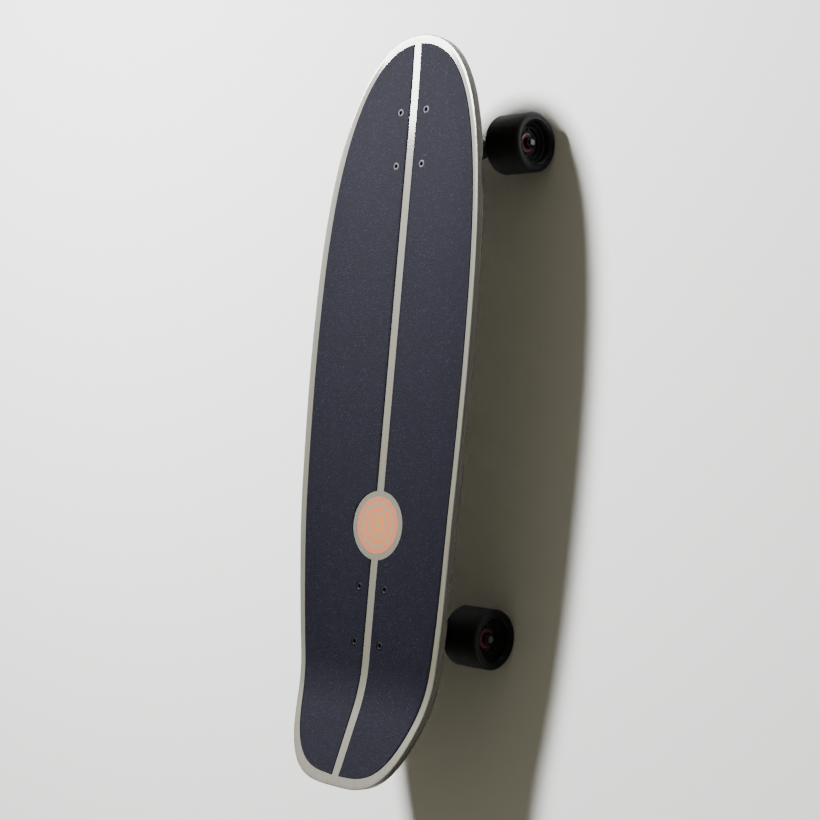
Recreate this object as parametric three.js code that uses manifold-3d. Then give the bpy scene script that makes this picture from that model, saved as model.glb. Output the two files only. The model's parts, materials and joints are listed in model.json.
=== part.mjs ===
// A surf skateboard: a pressed ply deck on a sprung swivelling front truck and a plain rear truck.
//
// Millimetres, +X towards the nose, +Y to the rider's left, +Z up. The board stands on its four wheels,
// and the origin lies on the floor under the middle of the deck's length.
// A truck is drawn in its own frame: its origin is on the deck's underside at the middle of its bolt
// pattern, +X points outboard, away from the middle of the board, and +Z points up.

import * as THREE from 'three';
import { mergeVertices } from 'three/addons/utils/BufferGeometryUtils.js';
import { ConvexGeometry } from 'three/addons/geometries/ConvexGeometry.js';
import Module from 'manifold-3d';

const wasm = await Module();
wasm.setup();

// Deck plan, measured from the point midway between the inner bolt rows
const deckHalfWidth = 128.6;
const noseReach = 398.6;
const tailReach = 468;
const widestStation = 16;
const noseTipShare = 0.914;
const noseShoulderShare = 0.471;
const waistShare = 0.116;
const cornerAlongShare = 0.7726;
const cornerAcrossShare = 0.828;
const cornerSlopeShare = 0.641;
const cornerFrontShare = 0.222;
const cornerBackShare = 0.277;
const tailTipShare = 0.303;
const spineEndShare = 0.62;

// Deck press
const deckThickness = 10.5;
const railRound = 1.2;
const flatHalfWidth = 35;
const concaveRise = 10.5;
const concaveFullTo = 140;
const concaveGoneAt = 400;
const kickStart = 330;
const kickBend = 56;
const kickSlopeShare = 0.33;
const noseLiftStart = 300;
const noseLift = 2.5;

// Wheel wells, sanded by a drum into the underside at the rails, where a turned wheel comes up
const frontWellStation = 228;
const rearWellStation = 244;
const wellDrumRadius = 70;
const wellDepth = 5;
const wellDepthAt = 118;
const wellStartsAt = 74;

// Grip sheet, in two halves round a bare stripe and a bare round field
const gripThickness = 1;
const sideBorder = 8.5;
const noseBorder = 10.3;
const tailBorder = 14.5;
const stripeWidth = 11;
const badgeRadius = 40;
const badgeStation = 173;

// Clearances: a turned or glued seat, a bore round what passes it, and how far a cutter overruns
const seatGap = 0.3;
const boreGap = 0.3;
const overrun = 5;

// Deck bolts and their nuts
const innerHoleBase = 491;
const holeSpacingLong = 63.5;
const holeSpacingWide = 41.28;
const boltHeadRadius = 4.7;
const boltHeadLip = 0.6;
const boltShankRadius = 2.4;
const boltSocketAcross = 3.2;
const boltSocketDepth = 2.2;
const boltHeadSunk = 0.2;
const boltTip = 1;
const nutAcross = 9.5;
const nutHexHeight = 3.6;
const nutCollarHeight = 1.4;
const nutCollarRadius = 4;

// Risers and the trucks' flanges
const frontRiserThickness = 3;
const flangeEndMargin = 12.25;
const flangeSideMargin = 7.36;
const flangeCorner = 9;
const flangeThickness = 7;
const riserWindowLength = 34;
const riserWindowWidth = 22;
const riserWindowCorner = 6;
const rearFlangeThickness = 8;
const rearBlockThickness = 5.5;
const rearUnitShift = 8.45;
const rearBlockEndOutboard = 25;
const rearBlockEndRadius = 13;

// Front swivel: the steering pivot stands inboard of the bolts and leans outboard at its top
const pivotInboard = 58;
const steerTilt = THREE.MathUtils.degToRad(10);
const lobeRadius = 26;
const bossRadius = 17;
const bossDepth = 7;
const pivotBoltRadius = 6;
const pivotBoltHeadRadius = 10;
const pivotBoltHeadHeight = 6;
const pivotBoltTip = 1.5;
const sleeveRadius = 8;
const thrustRadius = 16;
const thrustThickness = 4;
const thrustGroove = 1.2;
const armHeadRadius = 21;
const armHeadThickness = 10;
const springWireRadius = 2.5;
const springRadius = 15.5;
const springPitch = 5.6;
const springLength = 25;
const springTangLength = 4;
const capRadius = 20;
const capThickness = 5;
const pivotNutAcross = 18;
const pivotNutHeight = 8;
const pivotNutCollarRadius = 7.5;

// Swing arm
const swingGap = 9.5;
const armThickness = 9;
const armNeckRadius = 19;
const armEndRadius = 22;
const armEndOutboard = 20;

// Kingpin stack, from the seat of the arm or of the rear base plate downwards
const kingpinInboard = 14;
const kingpinTilt = THREE.MathUtils.degToRad(20);
const kingpinRadius = 4.76;
const kingpinHeadAcross = 14.3;
const kingpinHeadHeight = 5.9;
const kingpinTip = 1.6;
const kingpinNutAcross = 14.3;
const kingpinNutHeight = 6.7;
const kingpinNutCollarRadius = 6.4;
const seatBossRadius = 13.5;
const seatBossLength = 10;
const bushingRadius = 12.4;
const bushingWaistRadius = 11.6;
const bushingEndRadius = 9.4;
const boardBushingLength = 11.4;
const roadBushingLength = 10.4;
const washerRadius = 11.8;
const washerThickness = 2;
const washerDish = 1.3;

// Pivot cup and its housing
const pivotOutboard = 33;
const pivotBelowSeat = 3;
const housingRadius = 10.5;
const housingMouth = 4;
const housingReach = 8;
const cupRadius = 8;
const cupMouth = 4.6;
const cupReach = 6.2;
const cupFloor = 1.6;
const stemTipRadius = 5.2;

// Hanger
const axleOutboard = 5.25;
const axleBelowSeat = 52;
const ringThickness = 8;
const ringRadius = 15.5;
const ringHoleRadius = 9;
const swingClearance = 3;
const barrelMiddleRadius = 11.5;
const barrelEndRadius = 9;
const barrelNeckHalf = 52;
const axleRadius = 4;
const gussetLugRadius = 11;
const gussetLugThickness = 6;
const gussetHalfSpan = 46;
const gussetBarrelRadius = 8.6;
const rootHalfSpan = 22;
const rootRadius = 7;
const rootFromPivot = 23;

// Wheels
const trackHalf = 88;
const wheelRadius = 35;
const wheelWidth = 51;
const wheelEdgeRound = 4;
const wheelLipRadius = 26;
const wheelInnerLipRadius = 27.5;
const wheelLipRound = 0.8;
const coreRadius = 19.3;
const coreRimWall = 1.7;
const coreHubWall = 2.1;
const coreLedge = 1.5;
const coreProud = 1;
const coreGroove = 6;
const spokeThickness = 2.4;
const spokeSunk = 2;
const bearingInset = 13.5;
const bearingRadius = 11;
const bearingWidth = 7;
const bearingShieldSunk = 0.5;
const bearingInnerRace = 6.2;
const bearingOuterRace = 9.6;
const spacerLength = 10;
const spacerRadius = 5.4;
const axleNutAcross = 12.7;
const axleNutHeight = 6.5;
const axleTip = 0.7;

// Counts of facets and copies
const noseSteps = 8;
const noseCrowding = 1.35;
const waistSteps = 5;
const tailSteps = 8;
const railSteps = 2;
const faceShares = [1, 0.72, 0.46, 0.22];
const wheelSides = 24;
const turnedSides = 16;
const boreSides = 12;
const boltSides = 8;
const wellDrumSides = 48;
const cornerSteps = 3;
const springTurnSteps = 10;
const springSides = 6;
const springBendSteps = 3;
const spokeCount = 6;

// Places that follow from the sizes above
const flangeLength = holeSpacingLong + 2 * flangeEndMargin;
const flangeWidth = holeSpacingWide + 2 * flangeSideMargin;
const patternStation = (innerHoleBase + holeSpacingLong) / 2;
const frontSeatDepth = frontRiserThickness + flangeThickness + swingGap + armThickness;
const rearRiserThickness = frontSeatDepth - rearFlangeThickness - rearBlockThickness;
const wheelFlatRadius = wheelRadius * Math.cos(Math.PI / wheelSides);
const standHeight = deckThickness + frontSeatDepth + axleBelowSeat + wheelFlatRadius;
const bearingOuterFace = wheelWidth / 2 - bearingInset;
const bearingInnerFace = bearingOuterFace - 2 * bearingWidth - spacerLength;
const shoulderHalf = trackHalf + bearingInnerFace - seatGap;
const axleNutFace = trackHalf + bearingOuterFace + seatGap;
const axleHalf = axleNutFace + axleNutHeight + axleTip;
const bearingBoreRadius = axleRadius / Math.cos(Math.PI / boreSides) + boreGap / 2;
const coreBoreRadius = bearingRadius + boreGap / 2;
const tyreBoreRadius = (coreRadius + boreGap / 2) / Math.cos(Math.PI / wheelSides);
const nutHeight = nutHexHeight + nutCollarHeight;

// Heights down the kingpin, measured from the seat plane along the kingpin
const boardBushingTop = seatBossLength + seatGap;
const ringTop = boardBushingTop + boardBushingLength + seatGap;
const ringMiddle = ringTop + ringThickness / 2;
const roadBushingTop = ringTop + ringThickness + seatGap;
const washerTop = roadBushingTop + roadBushingLength + seatGap;
const kingpinNutTop = washerTop + washerThickness + seatGap;
const kingpinLength = kingpinNutTop + kingpinNutHeight + kingpinTip;

// Heights down the steering pivot, measured from the flange's lower face along the pivot
const thrustTop = bossDepth + seatGap;
const armHeadTop = thrustTop + thrustThickness + seatGap;
const springTop = armHeadTop + armHeadThickness + seatGap;
const springBend = springWireRadius + seatGap;
const capTop = springTop + springLength + seatGap;
const pivotNutTop = capTop + capThickness + seatGap;
const pivotBoltLength = pivotNutTop + pivotNutHeight + pivotBoltTip;
const flangeOnAxis = flangeThickness / Math.cos(steerTilt);
const pivotHeadTop = flangeOnAxis - (pivotBoltHeadRadius + boreGap) * Math.tan(steerTilt) - seatGap;

// The lean axis runs from the middle of the hanger's ring up to the ball in the pivot cup
const ringCentre = new THREE.Vector3(
  -kingpinInboard - ringMiddle * Math.sin(kingpinTilt), 0, -ringMiddle * Math.cos(kingpinTilt));
const pivotCentre = new THREE.Vector3(pivotOutboard, 0, -pivotBelowSeat);
const leanAngle = Math.atan2(pivotCentre.z - ringCentre.z, pivotCentre.x - ringCentre.x);

// A frame whose +Z leans outboard by a tilt, at a place in a truck's middle plane
const frameAt = (x, z, tilt) => new THREE.Matrix4().makeRotationY(tilt).setPosition(x, 0, z);
const kingpinFrame = frameAt(-kingpinInboard, 0, kingpinTilt);
const leanFrame = frameAt(pivotCentre.x, pivotCentre.z, Math.PI / 2 - leanAngle);
const steerFrame = frameAt(-pivotInboard, -frontRiserThickness - flangeThickness, steerTilt);

// A manifold solid of a three.js geometry, with its corners shared and its faces pointing out
function solid(geometry) {
  const bare = geometry.clone();
  bare.deleteAttribute('normal');
  bare.deleteAttribute('uv');
  const merged = mergeVertices(bare);
  const corners = merged.getAttribute('position');
  const index = merged.getIndex().array;
  const triangles = [];
  const a = new THREE.Vector3();
  const b = new THREE.Vector3();
  const c = new THREE.Vector3();
  let volume = 0;
  for (let i = 0; i < index.length; i += 3) {
    const [p, q, r] = index.slice(i, i + 3);
    if (p === q || q === r || r === p) continue;
    triangles.push([p, q, r]);
    a.fromBufferAttribute(corners, p);
    b.fromBufferAttribute(corners, q);
    c.fromBufferAttribute(corners, r);
    volume += a.dot(b.cross(c));
  }
  const outward = volume > 0 ? triangles : triangles.map(([p, q, r]) => [p, r, q]);
  return new wasm.Manifold(new wasm.Mesh({
    numProp: 3,
    vertProperties: new Float32Array(corners.array),
    triVerts: new Uint32Array(outward.flat()),
  }));
}

// The three.js geometry of a manifold solid
function geometryOf(made) {
  const mesh = made.getMesh();
  const geometry = new THREE.BufferGeometry();
  geometry.setAttribute('position', new THREE.BufferAttribute(mesh.vertProperties, mesh.numProp));
  geometry.setIndex(new THREE.BufferAttribute(mesh.triVerts, 1));
  geometry.computeVertexNormals();
  return geometry;
}

// A geometry moved into a frame, as a solid
const placed = (geometry, frame) => solid(geometry.clone().applyMatrix4(frame));
const joined = (first, ...rest) => rest.reduce((sum, next) => sum.add(next), first);
const cutBy = (first, ...rest) => rest.reduce((left, next) => left.subtract(next), first);

// A revolve about +Z, with a flat facet square to X and Y: points are [radius, height]
function turned(profile, sides = turnedSides) {
  const points = profile.map(([radius, height]) => new THREE.Vector2(radius, height));
  return new THREE.LatheGeometry(points, sides, Math.PI / sides).rotateX(Math.PI / 2);
}

// The same about +Y, for what turns on an axle
function turnedAcross(profile, sides) {
  const points = profile.map(([radius, height]) => new THREE.Vector2(radius, height));
  return new THREE.LatheGeometry(points, sides, Math.PI / sides);
}

// A round bar or a round hole's cutter between two heights
const bar = (radius, low, high, sides = turnedSides) =>
  turned([[0, low], [radius, low], [radius, high], [0, high]], sides);

// A tube between two heights
const tube = (inner, outer, low, high, sides = turnedSides) =>
  turned([[inner, low], [outer, low], [outer, high], [inner, high], [inner, low]], sides);

// A hexagon of a width across flats
function hexagon(across) {
  const shape = new THREE.Shape();
  const reach = across / Math.sqrt(3);
  for (let i = 0; i < 6; i += 1) {
    const angle = i * Math.PI / 3;
    const move = i === 0 ? 'moveTo' : 'lineTo';
    shape[move](reach * Math.cos(angle), reach * Math.sin(angle));
  }
  shape.closePath();
  return shape;
}

// A shape pulled up from one height to another
function prism(shape, low, high) {
  const options = { depth: high - low, bevelEnabled: false, curveSegments: cornerSteps, steps: 1 };
  return new THREE.ExtrudeGeometry(shape, options).translate(0, 0, low);
}

// A rectangle with round corners, centred
function roundedRectangle(length, width, corner) {
  const x = length / 2;
  const y = width / 2;
  const shape = new THREE.Shape();
  shape.absarc(x - corner, y - corner, corner, 0, Math.PI / 2);
  shape.absarc(corner - x, y - corner, corner, Math.PI / 2, Math.PI);
  shape.absarc(corner - x, corner - y, corner, Math.PI, Math.PI * 1.5);
  shape.absarc(x - corner, corner - y, corner, Math.PI * 1.5, Math.PI * 2);
  return shape;
}

// Two discs on the X axis and the straight sides that touch both, pulled up between two heights
function linkPlate(x1, radius1, x2, radius2, low, high) {
  const touch = Math.acos((radius1 - radius2) / (x2 - x1));
  const shape = new THREE.Shape();
  shape.absarc(x1, 0, radius1, touch, Math.PI * 2 - touch);
  shape.absarc(x2, 0, radius2, -touch, touch);
  const options = { depth: high - low, bevelEnabled: false, curveSegments: turnedSides / 2, steps: 1 };
  return new THREE.ExtrudeGeometry(shape, options).translate(0, 0, low);
}

// The points of a circle square to Z, moved into a frame, for a hull
function circleIn(frame, radius, height, sides = boreSides) {
  const points = [];
  for (let i = 0; i < sides; i += 1) {
    const angle = (i + 0.5) * Math.PI * 2 / sides;
    points.push(new THREE.Vector3(radius * Math.cos(angle), radius * Math.sin(angle), height).applyMatrix4(frame));
  }
  return points;
}

// The four bolt places of a pattern centred on the origin
const boltPlaces = [];
for (const along of [-1, 1]) {
  for (const across of [-1, 1]) {
    boltPlaces.push([along * holeSpacingLong / 2, across * holeSpacingWide / 2]);
  }
}

// Height of the pressed deck's top face over its flat middle
function pressHeight(x, y) {
  const back = Math.max(0, -x - kickStart);
  const bent = Math.min(back, kickBend);
  const kick = kickSlopeShare * (bent * bent / (2 * kickBend) + back - bent);
  const lift = noseLift * (Math.max(0, x - noseLiftStart) / (noseReach - noseLiftStart)) ** 2;
  const fade = THREE.MathUtils.smoothstep(x, -concaveGoneAt, -concaveFullTo);
  const out = Math.max(0, Math.abs(y) - flatHalfWidth) / (deckHalfWidth - flatHalfWidth);
  return kick + lift + concaveRise * fade * out * out;
}

// The left half of the board's plan from the nose tip to the tail tip, for a half width and two reaches
function planPoints(halfWidth, nose, tail) {
  const forward = nose - widestStation;
  const back = widestStation + tail;
  const point = (x, y) => new THREE.Vector2(x, y);
  const corner = point(widestStation - back * cornerAlongShare, halfWidth * cornerAcrossShare);
  const run = point(back, halfWidth * cornerSlopeShare).normalize();
  const before = corner.clone().addScaledVector(run, back * cornerFrontShare);
  const behind = corner.clone().addScaledVector(run, -back * cornerBackShare);
  const noseCurve = new THREE.CubicBezierCurve(
    point(nose, 0),
    point(nose, halfWidth * noseTipShare),
    point(widestStation + forward * noseShoulderShare, halfWidth),
    point(widestStation, halfWidth));
  const waistCurve = new THREE.CubicBezierCurve(
    point(widestStation, halfWidth), point(widestStation - back * waistShare, halfWidth), before, corner);
  const tailCurve = new THREE.CubicBezierCurve(
    corner, behind, point(-tail, halfWidth * tailTipShare), point(-tail, 0));
  const nosePoints = Array.from(
    { length: noseSteps + 1 }, (_, i) => noseCurve.getPoint((i / noseSteps) ** noseCrowding));
  return [
    ...nosePoints,
    ...waistCurve.getPoints(waistSteps).slice(1),
    ...tailCurve.getPoints(tailSteps).slice(1),
  ];
}

// The rail's quarter rounds from the top face to the underside, as pairs of inset and height
function roundRail(low, high) {
  const quarter = Array.from({ length: railSteps + 1 }, (_, i) => i * Math.PI / 2 / railSteps);
  const inset = (angle) => railRound * (1 - Math.sin(angle));
  return [
    ...quarter.map((angle) => [inset(angle), high - railRound * (1 - Math.cos(angle))]),
    ...quarter.toReversed().map((angle) => [inset(angle), low + railRound * (1 - Math.cos(angle))]),
  ];
}

// A layer that follows the press: rings run from the spine out to the rail, down its edge and back.
// Both faces split their quads along the same diagonals, so that one layer lies evenly on another.
function boardLayer(low, high, edge) {
  const half = planPoints(deckHalfWidth, noseReach, tailReach);
  const loop = [...half, ...half.slice(1, -1).reverse().map((p) => new THREE.Vector2(p.x, -p.y))];
  const count = loop.length;
  const insetLoop = (inset) => loop.map((p, i) => {
    const step = loop[(i + 1) % count].clone().sub(loop[(i + count - 1) % count]).setLength(inset);
    return new THREE.Vector2(p.x - step.y, p.y + step.x);
  });
  const spineEnd = deckHalfWidth * spineEndShare;
  const towardsSpine = (share) => insetLoop(railRound).map((p) => {
    const middle = new THREE.Vector2(THREE.MathUtils.clamp(p.x, spineEnd - tailReach, noseReach - spineEnd), 0);
    return p.lerp(middle, share);
  });
  const rings = [];
  const addRing = (points, level) => rings.push(points.map((p) => [p.x, p.y, pressHeight(p.x, p.y) + level]));
  for (const share of faceShares) addRing(towardsSpine(share), high);
  for (const [inset, level] of edge) addRing(insetLoop(inset), level);
  for (const share of faceShares.toReversed()) addRing(towardsSpine(share), low);
  const index = [];
  for (let r = 0; r + 1 < rings.length; r += 1) {
    const isUnderside = r + 1 >= faceShares.length + edge.length;
    for (let i = 0; i < count; i += 1) {
      const next = (i + 1) % count;
      const [a, b, c, d] = [r * count + i, r * count + next, (r + 1) * count + next, (r + 1) * count + i];
      index.push(...(isUnderside ? [a, b, d, b, c, d] : [a, b, c, a, c, d]));
    }
  }
  const geometry = new THREE.BufferGeometry();
  geometry.setAttribute('position', new THREE.Float32BufferAttribute(rings.flat(2), 3));
  geometry.setIndex(index);
  return geometry;
}

// A countersunk bolt's outline below the level of its head, let out by a gap
function boltOutline(headLevel, low, gap) {
  const coneEnd = headLevel - boltHeadLip - (boltHeadRadius - boltShankRadius);
  return [
    [0, headLevel + gap],
    [boltHeadRadius + gap, headLevel + gap],
    [boltHeadRadius + gap, headLevel - boltHeadLip],
    [boltShankRadius + gap, coneEnd],
    [boltShankRadius + gap, low],
    [0, low],
  ];
}

const gripTop = seatGap + gripThickness;
const boltHeadLevel = gripTop - boltHeadSunk;

// Where the bolts stand on the deck: station, side, and how deep what they clamp is
const boltStations = [
  ['front', patternStation, frontRiserThickness + flangeThickness],
  ['rear', -patternStation, rearRiserThickness + rearFlangeThickness],
];
const deckHoles = boltStations.flatMap(([, station]) => boltPlaces.map(([along, across]) => solid(
  turned(boltOutline(boltHeadLevel, -deckThickness - overrun, boreGap), boltSides)
    .translate(station + along, across, 0))));

// The drum's cut: its crown starts at the underside and rises outwards to the well's depth at the rail
function wellDrum(station, side) {
  const inner = pressHeight(station, wellStartsAt) - deckThickness;
  const outer = pressHeight(station, wellDepthAt) - deckThickness + wellDepth;
  const along = new THREE.Vector3(0, side * (wellDepthAt - wellStartsAt), outer - inner).normalize();
  const up = new THREE.Vector3(side, 0, 0).cross(along);
  const start = new THREE.Vector3(station, side * wellStartsAt, inner).addScaledVector(up, -wellDrumRadius);
  const frame = new THREE.Matrix4().makeBasis(up.clone().cross(along), up, along).setPosition(start);
  return placed(bar(wellDrumRadius, 0, deckHalfWidth, wellDrumSides), frame);
}

const deckSolid = cutBy(
  solid(boardLayer(-deckThickness, 0, roundRail(-deckThickness, 0))),
  ...deckHoles,
  ...[frontWellStation, -rearWellStation].flatMap((station) => [wellDrum(station, 1), wellDrum(station, -1)]));

// The grip sheet before it is parted, less its stripe, its round field and the bolt heads' holes
const gripHalfPlan = planPoints(deckHalfWidth - sideBorder, noseReach - noseBorder, tailReach - tailBorder);
const gripPlan = new THREE.Shape([
  ...gripHalfPlan, ...gripHalfPlan.slice(1, -1).reverse().map((p) => new THREE.Vector2(p.x, -p.y))]);
const gripSheet = cutBy(
  solid(boardLayer(seatGap, gripTop, [[railRound, gripTop], [railRound, seatGap]]))
    .intersect(solid(prism(gripPlan, -tailReach, tailReach))),
  solid(bar(badgeRadius, -deckThickness, deckThickness, turnedSides * 2).translate(-badgeStation, 0, 0)),
  ...boltStations.flatMap(([, station]) => boltPlaces.map(([along, across]) => solid(
    bar(boltHeadRadius + boreGap, -deckThickness, deckThickness, boltSides)
      .translate(station + along, across, 0)))));

// One half of the sheet: the part beyond the stripe on its own side
function gripHalf(side) {
  const long = noseReach + tailReach;
  const keeper = new THREE.BoxGeometry(long * 2, deckHalfWidth, long)
    .translate(0, side * (deckHalfWidth + stripeWidth) / 2, 0);
  return gripSheet.intersect(solid(keeper));
}

// A deck bolt with its hexagon socket
function deckBolt(depth) {
  const low = -deckThickness - depth - nutHeight - boltTip;
  const socket = prism(hexagon(boltSocketAcross), boltHeadLevel - boltSocketDepth, boltHeadLevel + overrun);
  return cutBy(solid(turned(boltOutline(boltHeadLevel, low, 0), boltSides)), solid(socket));
}

// A lock nut hanging down from height zero: a hexagon and the round collar of its insert
function lockNut(across, hexHeight, collarHeight, collarRadius, boreRadius, sides = boreSides) {
  return cutBy(
    joined(
      solid(prism(hexagon(across), -hexHeight, 0)),
      solid(bar(collarRadius, -hexHeight - collarHeight, -hexHeight / 2, sides))),
    solid(bar(boreRadius, -hexHeight - collarHeight - overrun, overrun, sides)));
}

// The four bolt holes of a truck's flange or riser
const patternHoles = (low, high) => boltPlaces.map(([along, across]) => solid(
  bar(boltShankRadius + boreGap, low, high, boltSides).translate(along, across, 0)));

// A riser pad under the deck, open in its middle over the kingpin's head
function riserPad(thickness) {
  const outline = roundedRectangle(flangeLength, flangeWidth, flangeCorner);
  const window = roundedRectangle(riserWindowLength, riserWindowWidth, riserWindowCorner);
  return cutBy(
    solid(prism(outline, -thickness, 0)),
    solid(prism(window, -thickness - overrun, overrun)),
    ...patternHoles(-thickness - overrun, overrun));
}

// The front base plate: a bolted flange with a lobe inboard, and the boss that the arm turns under
function frontBasePlate() {
  const top = -frontRiserThickness;
  const low = top - flangeThickness;
  const aboveBoss = flangeOnAxis + overrun;
  return cutBy(
    joined(
      solid(prism(roundedRectangle(flangeLength, flangeWidth, flangeCorner), low, top)),
      solid(linkPlate(-pivotInboard, lobeRadius, 0, flangeWidth / 2, low, top)),
      placed(bar(bossRadius, -bossDepth, bossRadius * Math.tan(steerTilt)), steerFrame)),
    placed(bar(pivotBoltRadius + boreGap, -bossDepth - overrun, aboveBoss), steerFrame),
    placed(bar(
      pivotBoltHeadRadius + boreGap, pivotHeadTop - pivotBoltHeadHeight - seatGap, aboveBoss), steerFrame),
    ...patternHoles(low - overrun, overrun));
}

// What an arm or a base plate gives the hanger: the kingpin's boss and the pivot cup's housing
const hangerSeat = () => joined(
  placed(turned([
    [0, seatBossRadius / 2], [seatBossRadius + seatGap * 4, seatBossRadius / 2],
    [seatBossRadius + seatGap * 4, -seatBossLength / 2], [seatBossRadius - seatGap * 2, -seatBossLength],
    [0, -seatBossLength]]), kingpinFrame),
  placed(turned([
    [0, -housingMouth], [housingRadius - seatGap * 4, -housingMouth],
    [housingRadius, seatGap * 4 - housingMouth], [housingRadius, housingReach], [0, housingReach]]), leanFrame));

// The bores in that seat: the kingpin's hole, its head's pocket and the cup's pocket
const hangerSeatBores = (headroom) => [
  placed(bar(kingpinRadius + boreGap, -seatBossLength - overrun, headroom, boreSides), kingpinFrame),
  placed(prism(hexagon(kingpinHeadAcross + 2 * boreGap), 0, headroom), kingpinFrame),
  placed(bar(cupRadius + boreGap, -housingMouth - overrun, cupReach + seatGap), leanFrame),
];

// A box that clears everything above a height
const clearAbove = (height) => solid(new THREE.BoxGeometry(
  flangeLength * 4, flangeWidth * 4, flangeLength).translate(0, 0, height + flangeLength / 2));

// The wire's centre line from the arm's hole, round the turns and down into the cap's hole
function springLine() {
  const first = -springTop - springWireRadius;
  const last = springWireRadius - springTop - springLength;
  const sweep = (first - last) / springPitch * Math.PI * 2;
  const points = [];
  const onHelix = (share) => new THREE.Vector3(
    springRadius * Math.cos(sweep * share), springRadius * Math.sin(sweep * share), first + (last - first) * share);
  const addTang = (share, way, up) => {
    const start = onHelix(share);
    const along = new THREE.Vector3(-Math.sin(sweep * share), Math.cos(sweep * share), 0).multiplyScalar(way);
    const tang = [];
    for (let i = 1; i <= springBendSteps; i += 1) {
      const angle = i * Math.PI / 2 / springBendSteps;
      tang.push(start.clone()
        .addScaledVector(along, springBend * Math.sin(angle))
        .add(new THREE.Vector3(0, 0, up * springBend * (1 - Math.cos(angle)))));
    }
    tang.push(tang.at(-1).clone().add(new THREE.Vector3(0, 0, up * springTangLength)));
    return tang;
  };
  points.push(...addTang(0, -1, 1).reverse());
  const steps = Math.round(sweep / (Math.PI * 2) * springTurnSteps);
  for (let i = 0; i <= steps; i += 1) points.push(onHelix(i / steps));
  points.push(...addTang(1, 1, -1));
  return points;
}

// A closed round tube through points, its sections carried along without twisting
function tubeThrough(points, radius, sides) {
  const corners = [];
  const tangentAt = (i) => points[Math.min(i + 1, points.length - 1)].clone()
    .sub(points[Math.max(i - 1, 0)]).normalize();
  const across = new THREE.Vector3(1, 0, 0);
  points.forEach((point, i) => {
    const tangent = tangentAt(i);
    across.addScaledVector(tangent, -across.dot(tangent)).normalize();
    const other = tangent.clone().cross(across);
    for (let k = 0; k < sides; k += 1) {
      const angle = k * Math.PI * 2 / sides;
      const corner = point.clone().addScaledVector(across, radius * Math.cos(angle));
      corners.push(corner.addScaledVector(other, radius * Math.sin(angle)));
    }
  });
  const index = [];
  for (let i = 0; i + 1 < points.length; i += 1) {
    for (let k = 0; k < sides; k += 1) {
      const next = (k + 1) % sides;
      const [a, b] = [i * sides + k, i * sides + next];
      index.push(a, b, b + sides, a, b + sides, a + sides);
    }
  }
  const lastRing = (points.length - 1) * sides;
  for (let k = 1; k + 1 < sides; k += 1) {
    index.push(0, k + 1, k, lastRing, lastRing + k, lastRing + k + 1);
  }
  const geometry = new THREE.BufferGeometry();
  geometry.setAttribute('position', new THREE.Float32BufferAttribute(corners.flatMap((p) => p.toArray()), 3));
  geometry.setIndex(index);
  return geometry;
}

// The least gap of the spring's wire to itself, between points over half a turn apart
function leastSpringGap(points) {
  let least = Infinity;
  points.forEach((p, i) => {
    for (const q of points.slice(i + springTurnSteps / 2)) least = Math.min(least, p.distanceTo(q));
  });
  return least - 2 * springWireRadius;
}

const springPoints = springLine();
console.log(`return spring: least gap between turns ${leastSpringGap(springPoints).toFixed(2)} mm`);

// The hole that one end of the spring drops into, at that end's last point
const tangHole = (end, low, high) => bar(springWireRadius + boreGap, low, high, boltSides)
  .translate(end.x, end.y, 0);

// The swing arm: a round head under the boss, and the plate that carries the hanger
function swingArm() {
  const plateTop = armThickness;
  const toSeat = new THREE.Matrix4().makeTranslation(0, 0, frontSeatDepth);
  const steerFromSeat = toSeat.multiply(steerFrame);
  const headLow = -armHeadTop - armHeadThickness;
  return cutBy(
    joined(
      cutBy(
        joined(
          solid(linkPlate(-pivotInboard, armNeckRadius, armEndOutboard, armEndRadius, 0, plateTop)),
          hangerSeat()),
        clearAbove(plateTop),
        placed(bar(bossRadius + seatGap * 3, -armHeadTop, armHeadTop), steerFromSeat),
        placed(bar(armHeadRadius, headLow - springLength, headLow), steerFromSeat)),
      placed(turned([
        [0, headLow], [armHeadRadius - seatGap * 4, headLow], [armHeadRadius, headLow + seatGap * 4],
        [armHeadRadius, -armHeadTop - seatGap * 4], [armHeadRadius - seatGap * 4, -armHeadTop],
        [0, -armHeadTop]]), steerFromSeat)),
    placed(bar(sleeveRadius + boreGap, headLow - overrun, overrun - armHeadTop), steerFromSeat),
    placed(tangHole(springPoints[0], headLow - overrun, springPoints[0].z + seatGap), steerFromSeat),
    ...hangerSeatBores(armHeadThickness + overrun));
}

// The spring's lower anchor, held on the sleeve by the pivot nut
function springCap() {
  return cutBy(
    solid(turned([
      [0, -capThickness], [capRadius - seatGap * 4, -capThickness], [capRadius, seatGap * 4 - capThickness],
      [capRadius, 0], [0, 0]])),
    solid(bar(pivotBoltRadius + boreGap, -capThickness - overrun, overrun)),
    solid(tangHole(springPoints.at(-1), -capThickness - overrun, overrun)));
}

// The rear base plate: the flange, and a low block with the same hanger seat
function rearBasePlate() {
  const low = -rearRiserThickness - rearFlangeThickness;
  const outline = roundedRectangle(flangeLength, flangeWidth, flangeCorner);
  const unit = new THREE.Matrix4().makeTranslation(rearUnitShift, 0, low - rearBlockThickness);
  const block = linkPlate(
    -kingpinInboard, armNeckRadius, rearBlockEndOutboard, rearBlockEndRadius, 0, rearBlockThickness);
  const inUnit = (made) => placed(geometryOf(made), unit);
  return cutBy(
    joined(
      solid(prism(outline, low, low + rearFlangeThickness)),
      placed(block, unit),
      cutBy(inUnit(hangerSeat()), clearAbove(low + rearFlangeThickness))),
    ...hangerSeatBores(rearFlangeThickness + rearBlockThickness + overrun).map(inUnit),
    ...patternHoles(low - overrun, overrun));
}

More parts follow.
